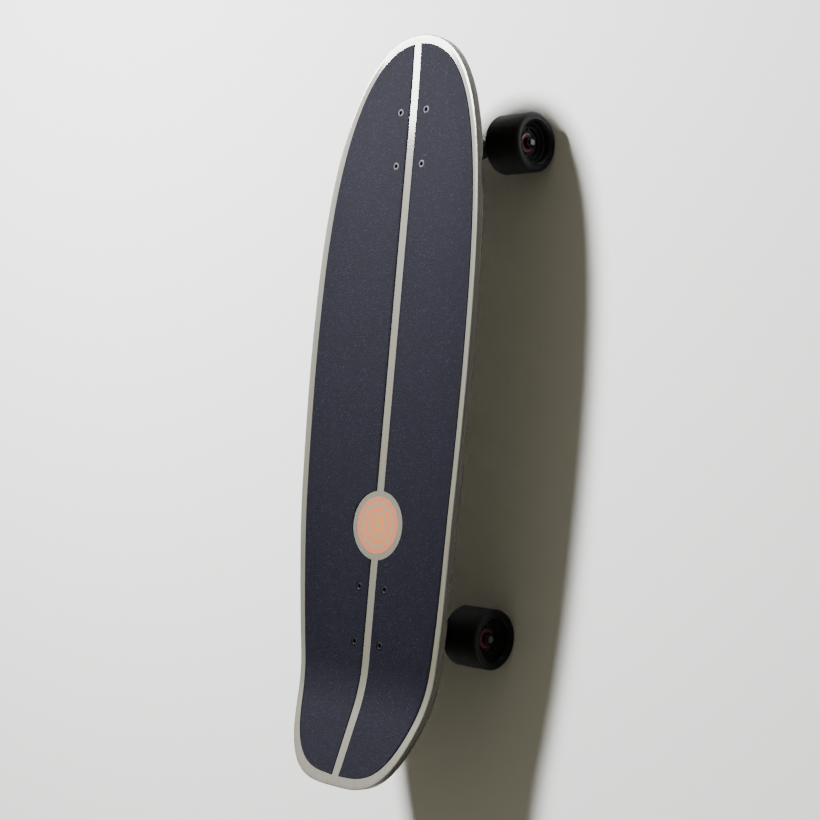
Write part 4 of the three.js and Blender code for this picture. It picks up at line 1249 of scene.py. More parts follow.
@dataclass
class GripSheet:
    """The two halves of the grip sheet, round a bare stripe and a bare round field.

    Attributes:
        seat: How high the sheet and the print lie over the deck.
        edge: How far in from its edge the sheet has its whole height.
        edge_share: The share of that height at the edge itself.
        fan_reach: How far from each end the rows fan out round the tip.
        rows: How many rows of faces run along a half.
        spacing: About how far apart the points along the stripe lie.
        back_shares: Where the rows of its hidden face lie, from the inner edge.
    """

    shape: BoardShape
    side_border: float = 8.5
    nose_border: float = 10.3
    tail_border: float = 12.0
    stripe: float = 11.0
    field_radius: float = 40.0
    field_station: float = -173.0
    field_steps: int = 48
    seat: float = 0.04
    edge: float = 0.7
    edge_share: float = 0.2
    fan_reach: float = 150.0
    rows: int = 22
    spacing: float = 4.0
    back_shares: Place = (0.75, 0.5, 0.25)
    hole_radius: float = 4.95
    print_radius: float = 33.0
    print_edge: float = 0.2
    print_thickness: float = 0.12
    print_steps: int = 96

    def pairs(self) -> list[tuple[Vector, Vector]]:
        """Points of the sheet's inner edge, each with its partner on the outer edge, nose to tail."""
        half = self.stripe / 2
        plan = self.shape.half_plan(self.side_border, self.nose_border, self.tail_border)
        outer: list[Vector] = []
        for p, q in zip(plan, plan[1:]):
            if (p.y - half) * (q.y - half) < 0:
                outer.append(p.lerp(q, (half - p.y) / (q.y - p.y)))
            if q.y > half:
                outer.append(q)
        nose_end = outer[0].x - self.fan_reach
        tail_end = outer[-1].x + self.fan_reach

        def across(x: float) -> Vector:
            """The point of the outer edge at a place along the board."""
            for p, q in zip(outer, outer[1:]):
                if q.x <= x <= p.x:
                    return p.lerp(q, (p.x - x) / (p.x - q.x))
            return outer[-1]

        def fan(points: list[Vector], tip: float, end: float) -> list[tuple[Vector, Vector]]:
            """Partners on the stripe for the points round a tip, spaced as those are."""
            lengths = [0.0]
            for p, q in zip(points, points[1:]):
                lengths.append(lengths[-1] + (q - p).length)
            return [
                (Vector((tip + (end - tip) * run / lengths[-1], half)), p) for run, p in zip(lengths, points)]

        front = [p for p in outer if p.x > nose_end]
        back = [p for p in outer if p.x < tail_end]
        start = math.atan2(half, math.sqrt(self.field_radius ** 2 - half ** 2))
        arc = [start + (math.pi - 2 * start) * i / self.field_steps for i in range(self.field_steps + 1)]
        radius = self.field_radius
        inner = [Vector((self.field_station + radius * math.cos(a), radius * math.sin(a))) for a in arc]
        ahead = round((nose_end - inner[0].x) / self.spacing)
        behind = round((inner[-1].x - tail_end) / self.spacing)
        run_in, run_out = inner[0].x - nose_end, tail_end - inner[-1].x
        edge = [
            *[Vector((nose_end + run_in * i / ahead, half)) for i in range(ahead)], *inner,
            *[Vector((inner[-1].x + run_out * i / behind, half)) for i in range(1, behind + 1)],
        ]
        first = fan([*front, across(nose_end)], outer[0].x, nose_end)[:-1]
        last = fan([across(tail_end), *back], tail_end, outer[-1].x)[1:]
        return [*first, *[(p, across(p.x)) for p in edge], *last]

    def half(self, side: float) -> Form:
        """One half of the sheet.

        Args:
            side: 1 for the left half and -1 for the right one.

        Returns:
            The form, closed, with a softened edge.
        """
        shape = self.shape
        pairs = self.pairs()
        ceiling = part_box("grip_left")[1].z / MM - shape.placed().translation.z

        def row(share: float, level: float, inset: float = 0.0) -> list[Vector]:
            """A row by its share of the way to the outer edge, its level and an inset in millimetres."""
            points = []
            for inner, outer in pairs:
                span = (outer - inner).length
                kept = min(1.0, max(0.0, share + (inset / span if span > 2 * self.edge else 0.0)))
                p = inner.lerp(outer, kept)
                points.append(Vector((p.x, side * p.y, min(ceiling, shape.height(p.x, p.y) + level))))
            return points

        top = shape.grip_top
        brink = top * self.edge_share
        rows = [
            row(0, self.seat), row(0, brink), row(0, top, self.edge),
            *[row(i / self.rows, top) for i in range(1, self.rows)],
            row(1, top, -self.edge), row(1, brink), row(1, self.seat),
            *[row(share, self.seat) for share in self.back_shares],
        ]
        return Form().loft(rows, loop=True, closed=False)

    def print_disc(self) -> Form:
        """The inked round on the bare field, as thick as a film of ink."""
        face = self.seat + self.print_thickness
        flat = self.print_radius - self.print_edge
        rings = [(0, face), (self.print_radius / 2, face), (flat, face), (self.print_radius, self.seat)]
        rows = []
        for radius, level in rings:
            row = circle(radius, 0, self.print_steps, self.field_station)
            rows.append([Vector((p.x, p.y, self.shape.height(p.x, p.y) + level)) for p in row])
        return Form().loft(rows, caps=(False, True))

    def build(self) -> None:
        """Makes both halves and the printed round."""
        shape = self.shape
        placed = shape.placed()
        hole = bar(self.hole_radius, -shape.thickness, shape.thickness)
        for name, side in (("left", 1.0), ("right", -1.0)):
            holes = shape.at_bolts(hole, side)
            mesh = worked(f"grip_sheet_{name}", self.half(side), placed, [(Cut.CUT, holes)])
            Piece(f"grip_sheet_{name}", "grip", [Surface.GRIP], [f"grip_{name}"], crease=50).made(mesh)
        Piece("field_print", "deck", [Surface.PRINT], body="deck", crease=8).from_form(
            self.print_disc(), placed)


@dataclass
class DeckBolts:
    """The eight countersunk deck bolts and their lock nuts.

    Attributes:
        head: The head's rim, as radius and height.
        sunk: How far the heads lie under the sheet's top.
        socket: The socket's width across flats, its depth, its drilled bottom and its chamfer's depth.
        tip: How far a bolt shows under its nut.
    """

    shape: BoardShape
    head: Sequence[Point] = ((4.2, 0), (4.55, -0.1), (4.7, -0.35), (4.7, -0.6))
    shank: float = 2.4
    sunk: float = 0.2
    socket: tuple[float, float, float, float] = (4.0, 2.2, 0.6, 0.25)
    tip: float = 1.0
    pitch: float = 0.8
    threaded: float = 8.0
    nut: LockNut = LockNut(9.5, 3.6, 1.4, 4.0, 2.5)

    def bolt(self, length: float) -> Form:
        """A bolt of a length, hanging down from its head's top at height zero."""
        across, deep, bottom, chamfer = self.socket
        radius, lip = self.head[-1]
        start = self.threaded - length
        rings: list[Ring | Point] = [
            (0, -deep - bottom), hexagon(across, -deep), hexagon(across, -chamfer), (across / 2 + 0.5, 0),
            *self.head, (self.shank, lip - radius + self.shank), (self.shank, start + 0.2),
            *thread(self.shank, self.pitch, start, 0.5 - length), (self.shank * 0.72, -length), (0, -length),
        ]
        return turned(rings, 36)

    def build(self) -> None:
        """Makes the bolts and nuts of both trucks."""
        placed = self.shape.placed()
        head = self.shape.grip_top - self.sunk
        nut = self.nut.form()
        # The front heads take a copy of the black steel painted lighter, as painted light for the brighter
        # nose end.
        for end, station, surface, slot in (
            ("front", self.shape.pattern, Surface.BOLT_HEAD_PAINTED_LIT, "deck_bolt"),
            ("rear", -self.shape.pattern, Surface.BLACK_STEEL, "dark_steel"),
        ):
            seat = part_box(f"{end}_deck_nut_1")[1].z / MM - placed.translation.z
            bolt = self.bolt(head - seat + self.nut.hexagon_height + self.nut.collar + self.tip)
            for i, (x, y) in enumerate(self.shape.bolt_places(station), 1):
                Piece(f"{end}_bolt_{i}", slot, [surface], [f"{end}_deck_bolt_{i}"]).from_form(
                    bolt, placed @ shift(x, y, head))
                Piece(f"{end}_nut_{i}", "dark_steel", [Surface.BLACK_STEEL, Surface.NYLON],
                      [f"{end}_deck_nut_{i}"]).from_form(nut, placed @ shift(x, y, seat))


@dataclass
class Wheel:
    """A wheel: tyre, core and two shielded bearings with their spacer.

    Attributes:
        lip: The radius of the tyre's mouth outside, as inner_lip is inside.
        tread_rings: How many rings to each side of the middle one have the tread's finish.
        mouth_foot: The mouth's first step over the core: how far out and how high.
        mouth_wall: Its wall: how far outside the core, and the share of the depth below the face.
        mouth_brink: The wall's upper end: how far inside the lip, and that share.
        lip_rings: The lip's ridge: how far outside the lip, and how far sunk in from the side face.
        shoulder_sunk: Where the side face ends: how far inside the edge's round, and how far sunk.
        web_shares: Where the web's rings lie between hub and rim, whose spokes are sunk by web_sunk.
        proud: How far the core stands out past the bearings.
        bearing_gap: The bearing's play in the core, round it and behind it.
        ledge: How far the core reaches in behind the bearing.
        bearing_face: The bearing's face from the outer race in: radius, and how far sunk.
        shield_rings: How many of that face's rings, after the first, have the shield's finish.
    """

    end: str
    side: str
    lip: float = 26.0
    inner_lip: float = 27.5
    edge: float = 4.0
    edge_steps: int = 8
    tread_rings: int = 4
    mouth_foot: Point = (0.5, 0.4)
    mouth_wall: Sequence[Point] = ((2.2, 0.62), (2.9, 0.6))
    mouth_brink: Point = (1.6, 0.16)
    lip_rings: Sequence[Point] = (
        (-0.5, 1.3), (0, 0.5), (0.3, 0.1), (0.7, 0), (1.1, 0.1), (1.5, 0.45), (1.9, 0.5))
    shoulder_sunk: Point = (0.8, 0.2)
    core: float = 19.3
    rim_wall: float = 1.7
    hub_wall: float = 2.1
    groove: float = 3.4
    web_sunk: float = 1.6
    web_shares: Sequence[float] = (1, 0.94, 0.75, 0.5, 0.25, 0.06, 0)
    spoke: float = 2.4
    spoke_ease: float = 0.7
    spokes: int = 6
    proud: float = 1.0
    chamfer: float = 0.4
    small_chamfer: float = 0.3
    bearing: float = 11.0
    bearing_width: float = 7.0
    bearing_gap: Point = (0.15, 0.3)
    ledge: float = 1.5
    bearing_face: Sequence[Point] = (
        (10.5, 0), (10.1, 0), (10.0, 0.45), (9.4, 0.3), (6.6, 0.45), (6.1, 0.55), (6.0, 0), (4.6, 0),
        (4.2, 0.4))
    shield_rings: int = 4
    bore: float = 4.2
    spacer: float = 5.4
    sides: int = 96

    def __post_init__(self) -> None:
        """Reads the wheel's place and size from its tyre's node."""
        low, high = (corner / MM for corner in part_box(f"{self.end}_{self.side}_tyre"))
        self.radius = (high.z - low.z) / 2
        self.width = high.y - low.y
        middle = (low + high) / 2
        out = -90 if middle.y > 0 else 90
        self.placed = shift(*middle) @ Matrix.Rotation(math.radians(out), 4, "X")
        races = [abs(corner.y / MM - middle.y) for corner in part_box(f"{self.end}_{self.side}_bearings")]
        self.outer_face = races[1] if middle.y > 0 else races[0]
        self.inner_face = -races[0] if middle.y > 0 else -races[1]

    def tyre(self) -> Form:
        """The tyre: ground tread, round edges, and a stepped mouth down to the core on each side."""
        half = self.width / 2
        bore = self.core + 0.1
        foot_out, foot_up = self.mouth_foot
        brink_in, brink_share = self.mouth_brink
        shoulder_in, shoulder_sunk = self.shoulder_sunk

        def mouth(way: float, lip: float, core: float) -> list[Point]:
            """The mouth's profile from the core up to its lip and out over the side face."""
            depth = half - way * core
            return [
                (bore, core), (bore + foot_out, core + way * foot_up),
                *[(bore + out, way * (half - depth * share)) for out, share in self.mouth_wall],
                (lip - brink_in, way * (half - depth * brink_share)),
                *[(lip + out, way * (half - sunk)) for out, sunk in self.lip_rings],
                (self.radius - self.edge - shoulder_in, way * (half - shoulder_sunk)),
            ]

        turns = [math.pi / 2 * (1 - i / self.edge_steps) for i in range(self.edge_steps + 1)]
        edge = self.edge
        shoulder = [(self.radius - edge * (1 - math.cos(a)), half - edge * (1 - math.sin(a))) for a in turns]
        outer = [*mouth(1, self.lip, self.outer_face + self.proud), *shoulder]
        inner = [*mouth(-1, self.inner_lip, self.inner_face - self.proud), *[(r, -y) for r, y in shoulder]]
        profile = [*outer, *reversed(inner)]
        finishes = [int(abs(i - len(outer) + 1) <= self.tread_rings) for i in range(len(profile))]
        return turned(profile, self.sides, finishes, loop=True)

    def core_form(self) -> Form:
        """The core: rim and hub with a sunk web between them and spokes across it."""
        out = self.outer_face + self.proud
        inn = self.inner_face - self.proud
        rim = self.core - self.rim_wall
        play, gap = self.bearing_gap
        bore = self.bearing + play
        hub = bore + self.hub_wall
        wide, fine = self.chamfer, self.small_chamfer
        upper = self.outer_face - self.bearing_width - gap
        lower = self.inner_face + self.bearing_width + gap

        def web(share: float) -> Ring:
            """A ring of the web, raised where a spoke crosses it."""
            radius = hub + (rim - hub) * share

            def place(angle: float) -> Point:
                sector = FULL_TURN / self.spokes
                away = abs((angle + sector / 2) % sector - sector / 2) * radius
                rise = min(1.0, max(0.0, (self.spoke / 2 + self.spoke_ease - away) / self.spoke_ease))
                rise = rise * rise * (3 - 2 * rise)
                return radius, out - self.groove + (self.groove - self.web_sunk) * rise
            return place

        profile: list[Ring | Point] = [
            (self.core, out - wide), (self.core - wide, out), (rim + fine, out), (rim, out - fine),
            *[web(share) for share in self.web_shares],
            (hub, out - fine), (hub - fine, out), (bore + wide, out), (bore, out - wide),
            (bore, upper), (bore - self.ledge, upper), (bore - self.ledge, lower), (bore, lower),
            (bore, inn + wide), (bore + wide, inn), (self.core - wide, inn), (self.core, inn + wide),
        ]
        return turned(profile, self.spokes * 24, loop=True)

    def bearing_form(self, face: float, way: float) -> Form:
        """One bearing: outer race, sunk rubber shield and inner race.

        Args:
            face: The height of its open face.
            way: 1 where that face looks outwards and -1 where it looks inwards.

        Returns:
            The form, steel numbered 0 and the shield 1.
        """
        back = face - way * self.bearing_width
        profile = [
            *[(radius, face - way * sunk) for radius, sunk in self.bearing_face],
            (self.bore, back), (self.bearing, back), (self.bearing, face - way * 0.5),
        ]
        return turned(profile, 64, [0, *[1] * self.shield_rings], loop=True)

    def build(self) -> None:
        """Makes the wheel's pieces."""
        prefix = f"{self.end}_{self.side}"
        low, high = self.inner_face + self.bearing_width, self.outer_face - self.bearing_width
        corners = [(self.bore, low), (self.spacer, low), (self.spacer, high), (self.bore, high)]
        spacer = turned(eased(corners, 0.3, loop=True), 32, loop=True)
        races = self.bearing_form(self.outer_face, 1).join(self.bearing_form(self.inner_face, -1), spacer)
        for part, slot, surfaces, form in (
            ("tyre", "wheel", [Surface.TYRE, Surface.TREAD], self.tyre()),
            ("core", "wheel_core", [Surface.CORE], self.core_form()),
            ("bearings", "bearing", [Surface.RACE, Surface.SHIELD], races),
        ):
            Piece(f"{prefix}_wheel_{part}", slot, surfaces, [f"{prefix}_{part}"]).from_form(form, self.placed)


# A truck's frames in millimetres. The kingpin, the lean axis and the axle are measured from the seat of its
# hanger, and the steering pivot from the middle of its bolts, which the seat lies SEAT_DEPTH below.
KINGPIN = tilted(-14.0, 0.0, 20.0)
LEAN = tilted(33.0, -3.0, 69.02)
ACROSS = shift(5.25, 0.0, -52.0) @ Matrix.Rotation(math.radians(-90), 4, "X")
PIVOT_X = -58.0
PIVOT_TILT = 10.0
STEER = tilted(PIVOT_X, -10.0, PIVOT_TILT)
SEAT_DEPTH = 28.5

# How far what cuts a hole reaches past the solid, in millimetres.
OVER = 5.0


def cut_above(level: float) -> Form:
    """What cuts a truck's solids off above a height, and reaches past them on all sides."""
    return plate(rounded_rectangle(300, 200, 5), level, 60)


@dataclass
class Truck:
    """Where a truck's frames lie, and the sizes that both trucks share.

    Attributes:
        riser: The riser pad's thickness, as flange is the flange's.
        seat_shift: How far the hanger's seat lies outboard of the bolts' middle.
        window: The opening in the riser pad over the kingpin's head: length, width and corner radius.
        grooved_from: The thickness over which a riser pad has a groove round it.
        boss: The kingpin's boss, as radius and height on the kingpin.
        housing: The pivot cup's housing, as radius and height on the lean axis.
        head_pocket: How wide the pocket of the kingpin's head is across flats.
        cup_pocket: The pivot cup's pocket: radius, bottom and top on the lean axis.
    """

    shape: BoardShape
    end: str
    riser: float
    flange: float
    seat_shift: float
    length: float = 88.0
    width: float = 56.0
    corner: float = 9.0
    hole: float = 2.7
    window: Place = (34.0, 22.0, 6.0)
    grooved_from: float = 8.0
    boss: Sequence[Point] = ((0, 6.75), (14.7, 6.75), (14.7, -5), (13.0, -9.8), (12.6, -10), (0, -10))
    housing: Sequence[Point] = ((0, -4), (9.3, -4), (10.5, -2.8), (10.5, 8), (0, 8))
    kingpin_hole: float = 5.06
    head_pocket: float = 14.9
    cup_pocket: Place = (8.3, -9.0, 6.5)

    def __post_init__(self) -> None:
        """Finds the truck's frame from the board's."""
        ahead = 1 if self.end == "front" else -1
        turn = Matrix.Rotation(0 if ahead > 0 else math.pi, 4, "Z")
        self.plate = self.shape.placed() @ shift(ahead * self.shape.pattern, 0, -self.shape.thickness) @ turn
        self.seat = self.plate @ shift(self.seat_shift, 0, -SEAT_DEPTH)
        self.low = -self.riser - self.flange

    def slab(
        self, low: float, high: float, grown: float = 0.0, corner: float = 0.0, edge: float = 0.0,
    ) -> Form:
        """The flange's outline pulled up between two heights, grown on all sides by half of an amount."""
        outline = rounded_rectangle(self.length + grown, self.width + grown, self.corner + corner)
        return plate(outline, low, high, edge)

    def holes(self, low: float) -> Form:
        """The four bolt holes from a height up, as what cuts them."""
        hole = bar(self.hole, low - OVER, OVER, 24)
        return Form().join(*[hole.moved(shift(x, y)) for x, y in self.shape.bolt_places(0)])

    def riser_pad(self) -> None:
        """The rubber pad between the deck and the base plate, open over the kingpin's head."""
        window = plate(rounded_rectangle(*self.window), -self.riser - OVER, OVER)
        cuts = [(Cut.CUT, window), (Cut.CUT, self.holes(-self.riser))]
        if self.riser > self.grooved_from:
            # A groove runs round it, as between two pads that lie on each other.
            level = (1 - self.riser) / 2
            groove = self.slab(level - 0.5, level + 0.5, grown=9, corner=4)
            cuts.append((Cut.CUT, groove.join(self.slab(level - 1, level + 1, grown=-1.2))))
        name = f"{self.end}_riser_pad"
        mesh = worked(name, self.slab(-self.riser, 0, edge=0.5), self.plate, cuts)
        Piece(name, "riser", [Surface.RISER], [f"{self.end}_riser"]).made(mesh)

    def seat_form(self) -> list[tuple[Cut, Form]]:
        """What carries the hanger: the kingpin's boss, the pivot cup's housing and the web between them."""
        web = hull([
            *circle(9, -2, 24, frame_at=LEAN), *circle(9, 6, 24, frame_at=LEAN), *circle(13, 2, 24, 16)])
        return [
            (Cut.ADD, turned(self.boss, 64).moved(KINGPIN)), (Cut.ADD, web),
            (Cut.ADD, turned(self.housing, 64).moved(LEAN)),
        ]

    def seat_bores(self, headroom: float) -> list[Form]:
        """What is machined in that seat: the kingpin's hole, its head's pocket and the cup's pocket."""
        across = self.head_pocket
        pocket = turned([(0, 0), hexagon(across, 0), hexagon(across, headroom), (0, headroom)], 6)
        return [
            bar(self.kingpin_hole, self.boss[-1][1] - OVER, headroom).moved(KINGPIN),
            pocket.moved(KINGPIN), bar(*self.cup_pocket).moved(LEAN),
        ]


@dataclass
class Swivel:
    """The steering pivot of the front truck: bolt, sleeve, thrust bearing, return spring, cap and nut.

    Attributes:
        socket: The bolt's socket: width across flats, depth and the depth of its chamfer.
        head: The head's radius, top and low face.
        sleeve: The sleeve's radius, low end and top.
        thrust: The thrust bearing's bore, radius, top and low face, its washers as thick as race.
        ball: A ball's radius level and upright.
        cage: The cage's inner and outer radius, and its half thickness.
        coil: The heights between which the spring winds.
        bend: The radius of the bend into each tang, whose straight length is tang.
        held: How far in from each end of the wire, counted in its points, the bend's start and end points are
            taken.
        cap_rim: The spring cap's rim, as radius and height.
    """

    truck: Truck
    bore: float = 6.3
    socket: Place = (10.0, 4.5, 0.4)
    head: Place = (10.0, 4.99, -1.01)
    bolt_radius: float = 6.0
    bolt_end: float = -62.0
    bolt_pitch: float = 1.5
    sleeve: Place = (8.0, -46.9, -7.3)
    thrust: tuple[float, float, float, float] = (8.3, 16.0, -7.3, -11.3)
    race: float = 1.2
    balls: int = 18
    ball_circle: float = 13.9
    ball: Point = (0.7548, 0.74)
    cage: Place = (8.6, 15.1, 0.45)
    wire_radius: float = 2.5
    coil_radius: float = 15.5
    coil_pitch: float = 5.6
    coil: Point = (-24.4, -44.4)
    turn_steps: int = 40
    bend: float = 2.8
    tang: float = 4.0
    tang_hole: float = 2.8
    held: int = 12
    cap_top: float = -47.2
    cap_height: float = 5.0
    cap_rim: Sequence[Point] = ((18.8, -5), (20, -3.8), (20, -0.5), (19.5, 0))
    nut_top: float = -52.5
    nut: LockNut = LockNut(18, 5.6, 2.4, 7.5, 6.3)

    def __post_init__(self) -> None:
        """Finds the swivel's frame, and how far the wire turns."""
        self.placed = self.truck.plate @ STEER
        self.sweep = (self.coil[0] - self.coil[1]) / self.coil_pitch * FULL_TURN

    def line(self) -> list[Vector]:
        """The wire's centre line from the arm's hole, round the turns and down into the cap's hole."""
        top, low = self.coil

        def on_coil(share: float) -> Vector:
            angle = self.sweep * share
            x, y = self.coil_radius * math.cos(angle), self.coil_radius * math.sin(angle)
            return Vector((x, y, top + (low - top) * share))

        def tang(share: float, way: float) -> list[Vector]:
            """The bend and the tang at one end, up from the first and down from the last."""
            angle = self.sweep * share
            along = Vector((-math.sin(angle), math.cos(angle), 0)) * way * self.bend
            up = Vector((0, 0, -way))
            turns = [i * math.pi / 16 for i in range(1, 9)]
            made = [
                on_coil(share) + along * math.sin(a) + up * self.bend * (1 - math.cos(a)) for a in turns]
            return [*made, made[-1] + up * self.tang]

        steps = round(self.sweep / FULL_TURN * self.turn_steps)
        return [*reversed(tang(0, -1)), *[on_coil(i / steps) for i in range(steps + 1)], *tang(1, 1)]

    def bolt(self) -> Form:
        """The pivot bolt, with a round head, a plain shank and a thread for its nut."""
        across, deep, chamfer = self.socket
        radius, top, low = self.head
        rings: list[Ring | Point] = [
            (0, top - deep), hexagon(across, top - deep), hexagon(across, top - chamfer),
            (across / 2 + 1.3, top), (radius - 0.6, top), (radius, top - 0.6), (radius, low),
            (self.bolt_radius, low), (self.bolt_radius, self.nut_top + 2),
            *thread(self.bolt_radius, self.bolt_pitch, self.nut_top + 1.8, self.bolt_end + 1.2),
            (self.bolt_radius - 1.2, self.bolt_end), (0, self.bolt_end),
        ]
        return turned(rings, 48)

    def thrust_bearing(self) -> Form:
        """Two ground washers, numbered 0, with caged balls between them; the cage is numbered 1."""
        inner, outer, top, low = self.thrust
        middle = (top + low) / 2
        wide, high = self.ball
        turns = [math.pi * k / 8 for k in range(9)]
        ball = turned([(wide * math.sin(a), high * math.cos(a)) for a in turns], 16)
        cage_in, cage_out, cage_half = self.cage
        return Form().join(
            tube(inner, outer, top - self.race, top, 0.25), tube(inner, outer, low, low + self.race, 0.25),
            *[ball.moved(shift(*centre)) for centre in circle(self.ball_circle, middle, self.balls)],
            tube(cage_in, cage_out, middle - cage_half, middle + cage_half, 0.1, finish=1))

    def build(self) -> None:
        """Makes the swivel's pieces."""
        radius, low, high = self.sleeve
        races = [Surface.RACE, Surface.BRASS]
        for name, slot, surfaces, node, form in (
            ("bolt", "dark_steel", [Surface.BLACK_STEEL], "pivot_bolt", self.bolt()),
            ("sleeve", "steel", [Surface.STEEL], "pivot_sleeve", tube(self.bore, radius, low, high)),
            ("thrust_bearing", "steel", races, "thrust_bearing", self.thrust_bearing()),
        ):
            Piece(f"steering_{name}", slot, surfaces, [node]).from_form(form, self.placed)
        line = self.line()
        ends = [self.placed @ line[-self.held], self.placed @ line[self.held]]
        Piece("steering_spring", "spring", [Surface.SPRING], ["return_spring"],
              bends=("deck", "swing_arm", ends[0], ends[1]), crease=60).from_form(
            wire(line, self.wire_radius), self.placed)
        cap = turned([(0, -self.cap_height), *self.cap_rim, (0, 0)], 72)
        below = -self.cap_height - OVER
        holes = [bar(self.bore, below, OVER), bar(self.tang_hole, below, OVER, 24).moved(shift(*line[-1].xy))]
        mesh = worked("steering_spring_cap", cap, self.placed @ shift(z=self.cap_top),
                      [(Cut.CUT, hole) for hole in holes])
        Piece("steering_spring_cap", "casting", [Surface.CASTING], ["spring_cap"]).made(mesh)
        Piece("steering_nut", "steel", [Surface.STEEL, Surface.NYLON], ["pivot_nut"]).from_form(
            self.nut.form(), self.placed @ shift(z=self.nut_top))


@dataclass
class FrontTruckPlates:
    """The front truck's castings over the hanger: the bolted base plate and the arm that swings under it.

    Attributes:
        lobe_radius: The radius of the base plate's lobe round the pivot.
        boss: The boss under the lobe: its radius and its low face on the pivot.
        counterbore: The pocket of the pivot bolt's head: its radius and its floor.
        window: The recess over the kingpin's head: length, width and corner radius.
        arm_ends: The arm's radii round the pivot and round the seat.
        arm_head: The arm's head on the pivot, as radius and height.
        clearance: The radius cleared round the pivot over that head.
    """

    truck: Truck
    swivel: Swivel
    lobe_radius: float = 26.0
    boss: Point = (17.0, -7.0)
    counterbore: Point = (10.3, -1.31)
    window: Place = (38.0, 24.0, 6.0)
    window_at: float = 4.0
    window_depth: float = 2.6
    arm_height: float = 9.0
    arm_ends: Point = (19.0, 22.0)
    arm_head: Sequence[Point] = ((19.8, -21.6), (21, -20.4), (21, -12.8), (19.8, -11.6))
    clearance: float = 17.9
    sleeve_hole: float = 8.3

    def base_plate(self) -> None:
        """The flange with its lobe inboard, and the boss under it."""
        truck = self.truck
        top = -truck.riser
        lobe = plate(link_outline(PIVOT_X, self.lobe_radius, 0, truck.width / 2), truck.low, top)
        radius, low = self.boss
        boss = bar(radius, low, radius * math.tan(math.radians(PIVOT_TILT)), 96).moved(STEER)
        pocket, floor = self.counterbore
        window = plate(rounded_rectangle(*self.window), top - self.window_depth, OVER)
        bores = [
            bar(self.swivel.bore, -12, 12).moved(STEER), bar(pocket, floor, 12).moved(STEER),
            truck.holes(truck.low), window.moved(shift(self.window_at)),
        ]
        cast("front_truck_base", "front_base_plate", truck.slab(truck.low, top), truck.plate,
             [(Cut.ADD, lobe), (Cut.ADD, boss)], bores)

    def arm(self) -> None:
        """The arm: a round head on the pivot, and the plate that carries the hanger's seat."""
        truck = self.truck
        steer = shift(z=SEAT_DEPTH) @ STEER
        at_pivot, at_seat = self.arm_ends
        radius, low, high = self.arm_head[1][0], self.arm_head[0][1], self.arm_head[-1][1]
        steps = [
            *truck.seat_form(), (Cut.CUT, cut_above(self.arm_height)),
            (Cut.CUT, bar(self.clearance, high, -high, 96).moved(steer)),
            (Cut.CUT, bar(radius, low - 25, low, 96).moved(steer)),
            (Cut.ADD, turned([(0, low), *self.arm_head, (0, high)], 96).moved(steer)),
        ]
        tang = self.swivel.line()[0]
        hole = bar(self.swivel.tang_hole, -30, tang.z + 0.3, 24).moved(steer @ shift(tang.x, tang.y))
        bores = [bar(self.sleeve_hole, -30, -6).moved(steer), hole, *truck.seat_bores(15)]
        body = plate(link_outline(PIVOT_X, at_pivot, 20, at_seat), 0, self.arm_height)
        cast("front_swing_arm", "swing_arm", body, truck.seat, steps, bores)

    def build(self) -> None:
        """Makes both castings."""
        self.base_plate()
        self.arm()


@dataclass
class RearTruckPlate:
    """The rear truck's base plate: the bolted flange, and a low block with the hanger's seat.

    Attributes:
        block: The block's height.
        block_ends: The place and the radius of its inboard end, and then those of its outboard end.
    """

    truck: Truck
    block: float = 5.5
    block_ends: tuple[float, float, float, float] = (-14.0, 19.0, 25.0, 13.0)

    def build(self) -> None:
        """Makes the casting."""
        truck = self.truck
        unit = shift(truck.seat_shift, 0, truck.low - self.block)
        block = plate(link_outline(*self.block_ends), 0, self.block)
        raised = [(way, form.moved(unit)) for way, form in [(Cut.ADD, block), *truck.seat_form()]]
        headroom = truck.flange + self.block + OVER
        bores = [*[form.moved(unit) for form in truck.seat_bores(headroom)], truck.holes(truck.low)]
        cast("rear_truck_base", "rear_base_plate", truck.slab(truck.low, -truck.riser), truck.plate,
             [*raised, (Cut.CUT, cut_above(-truck.riser))], bores)


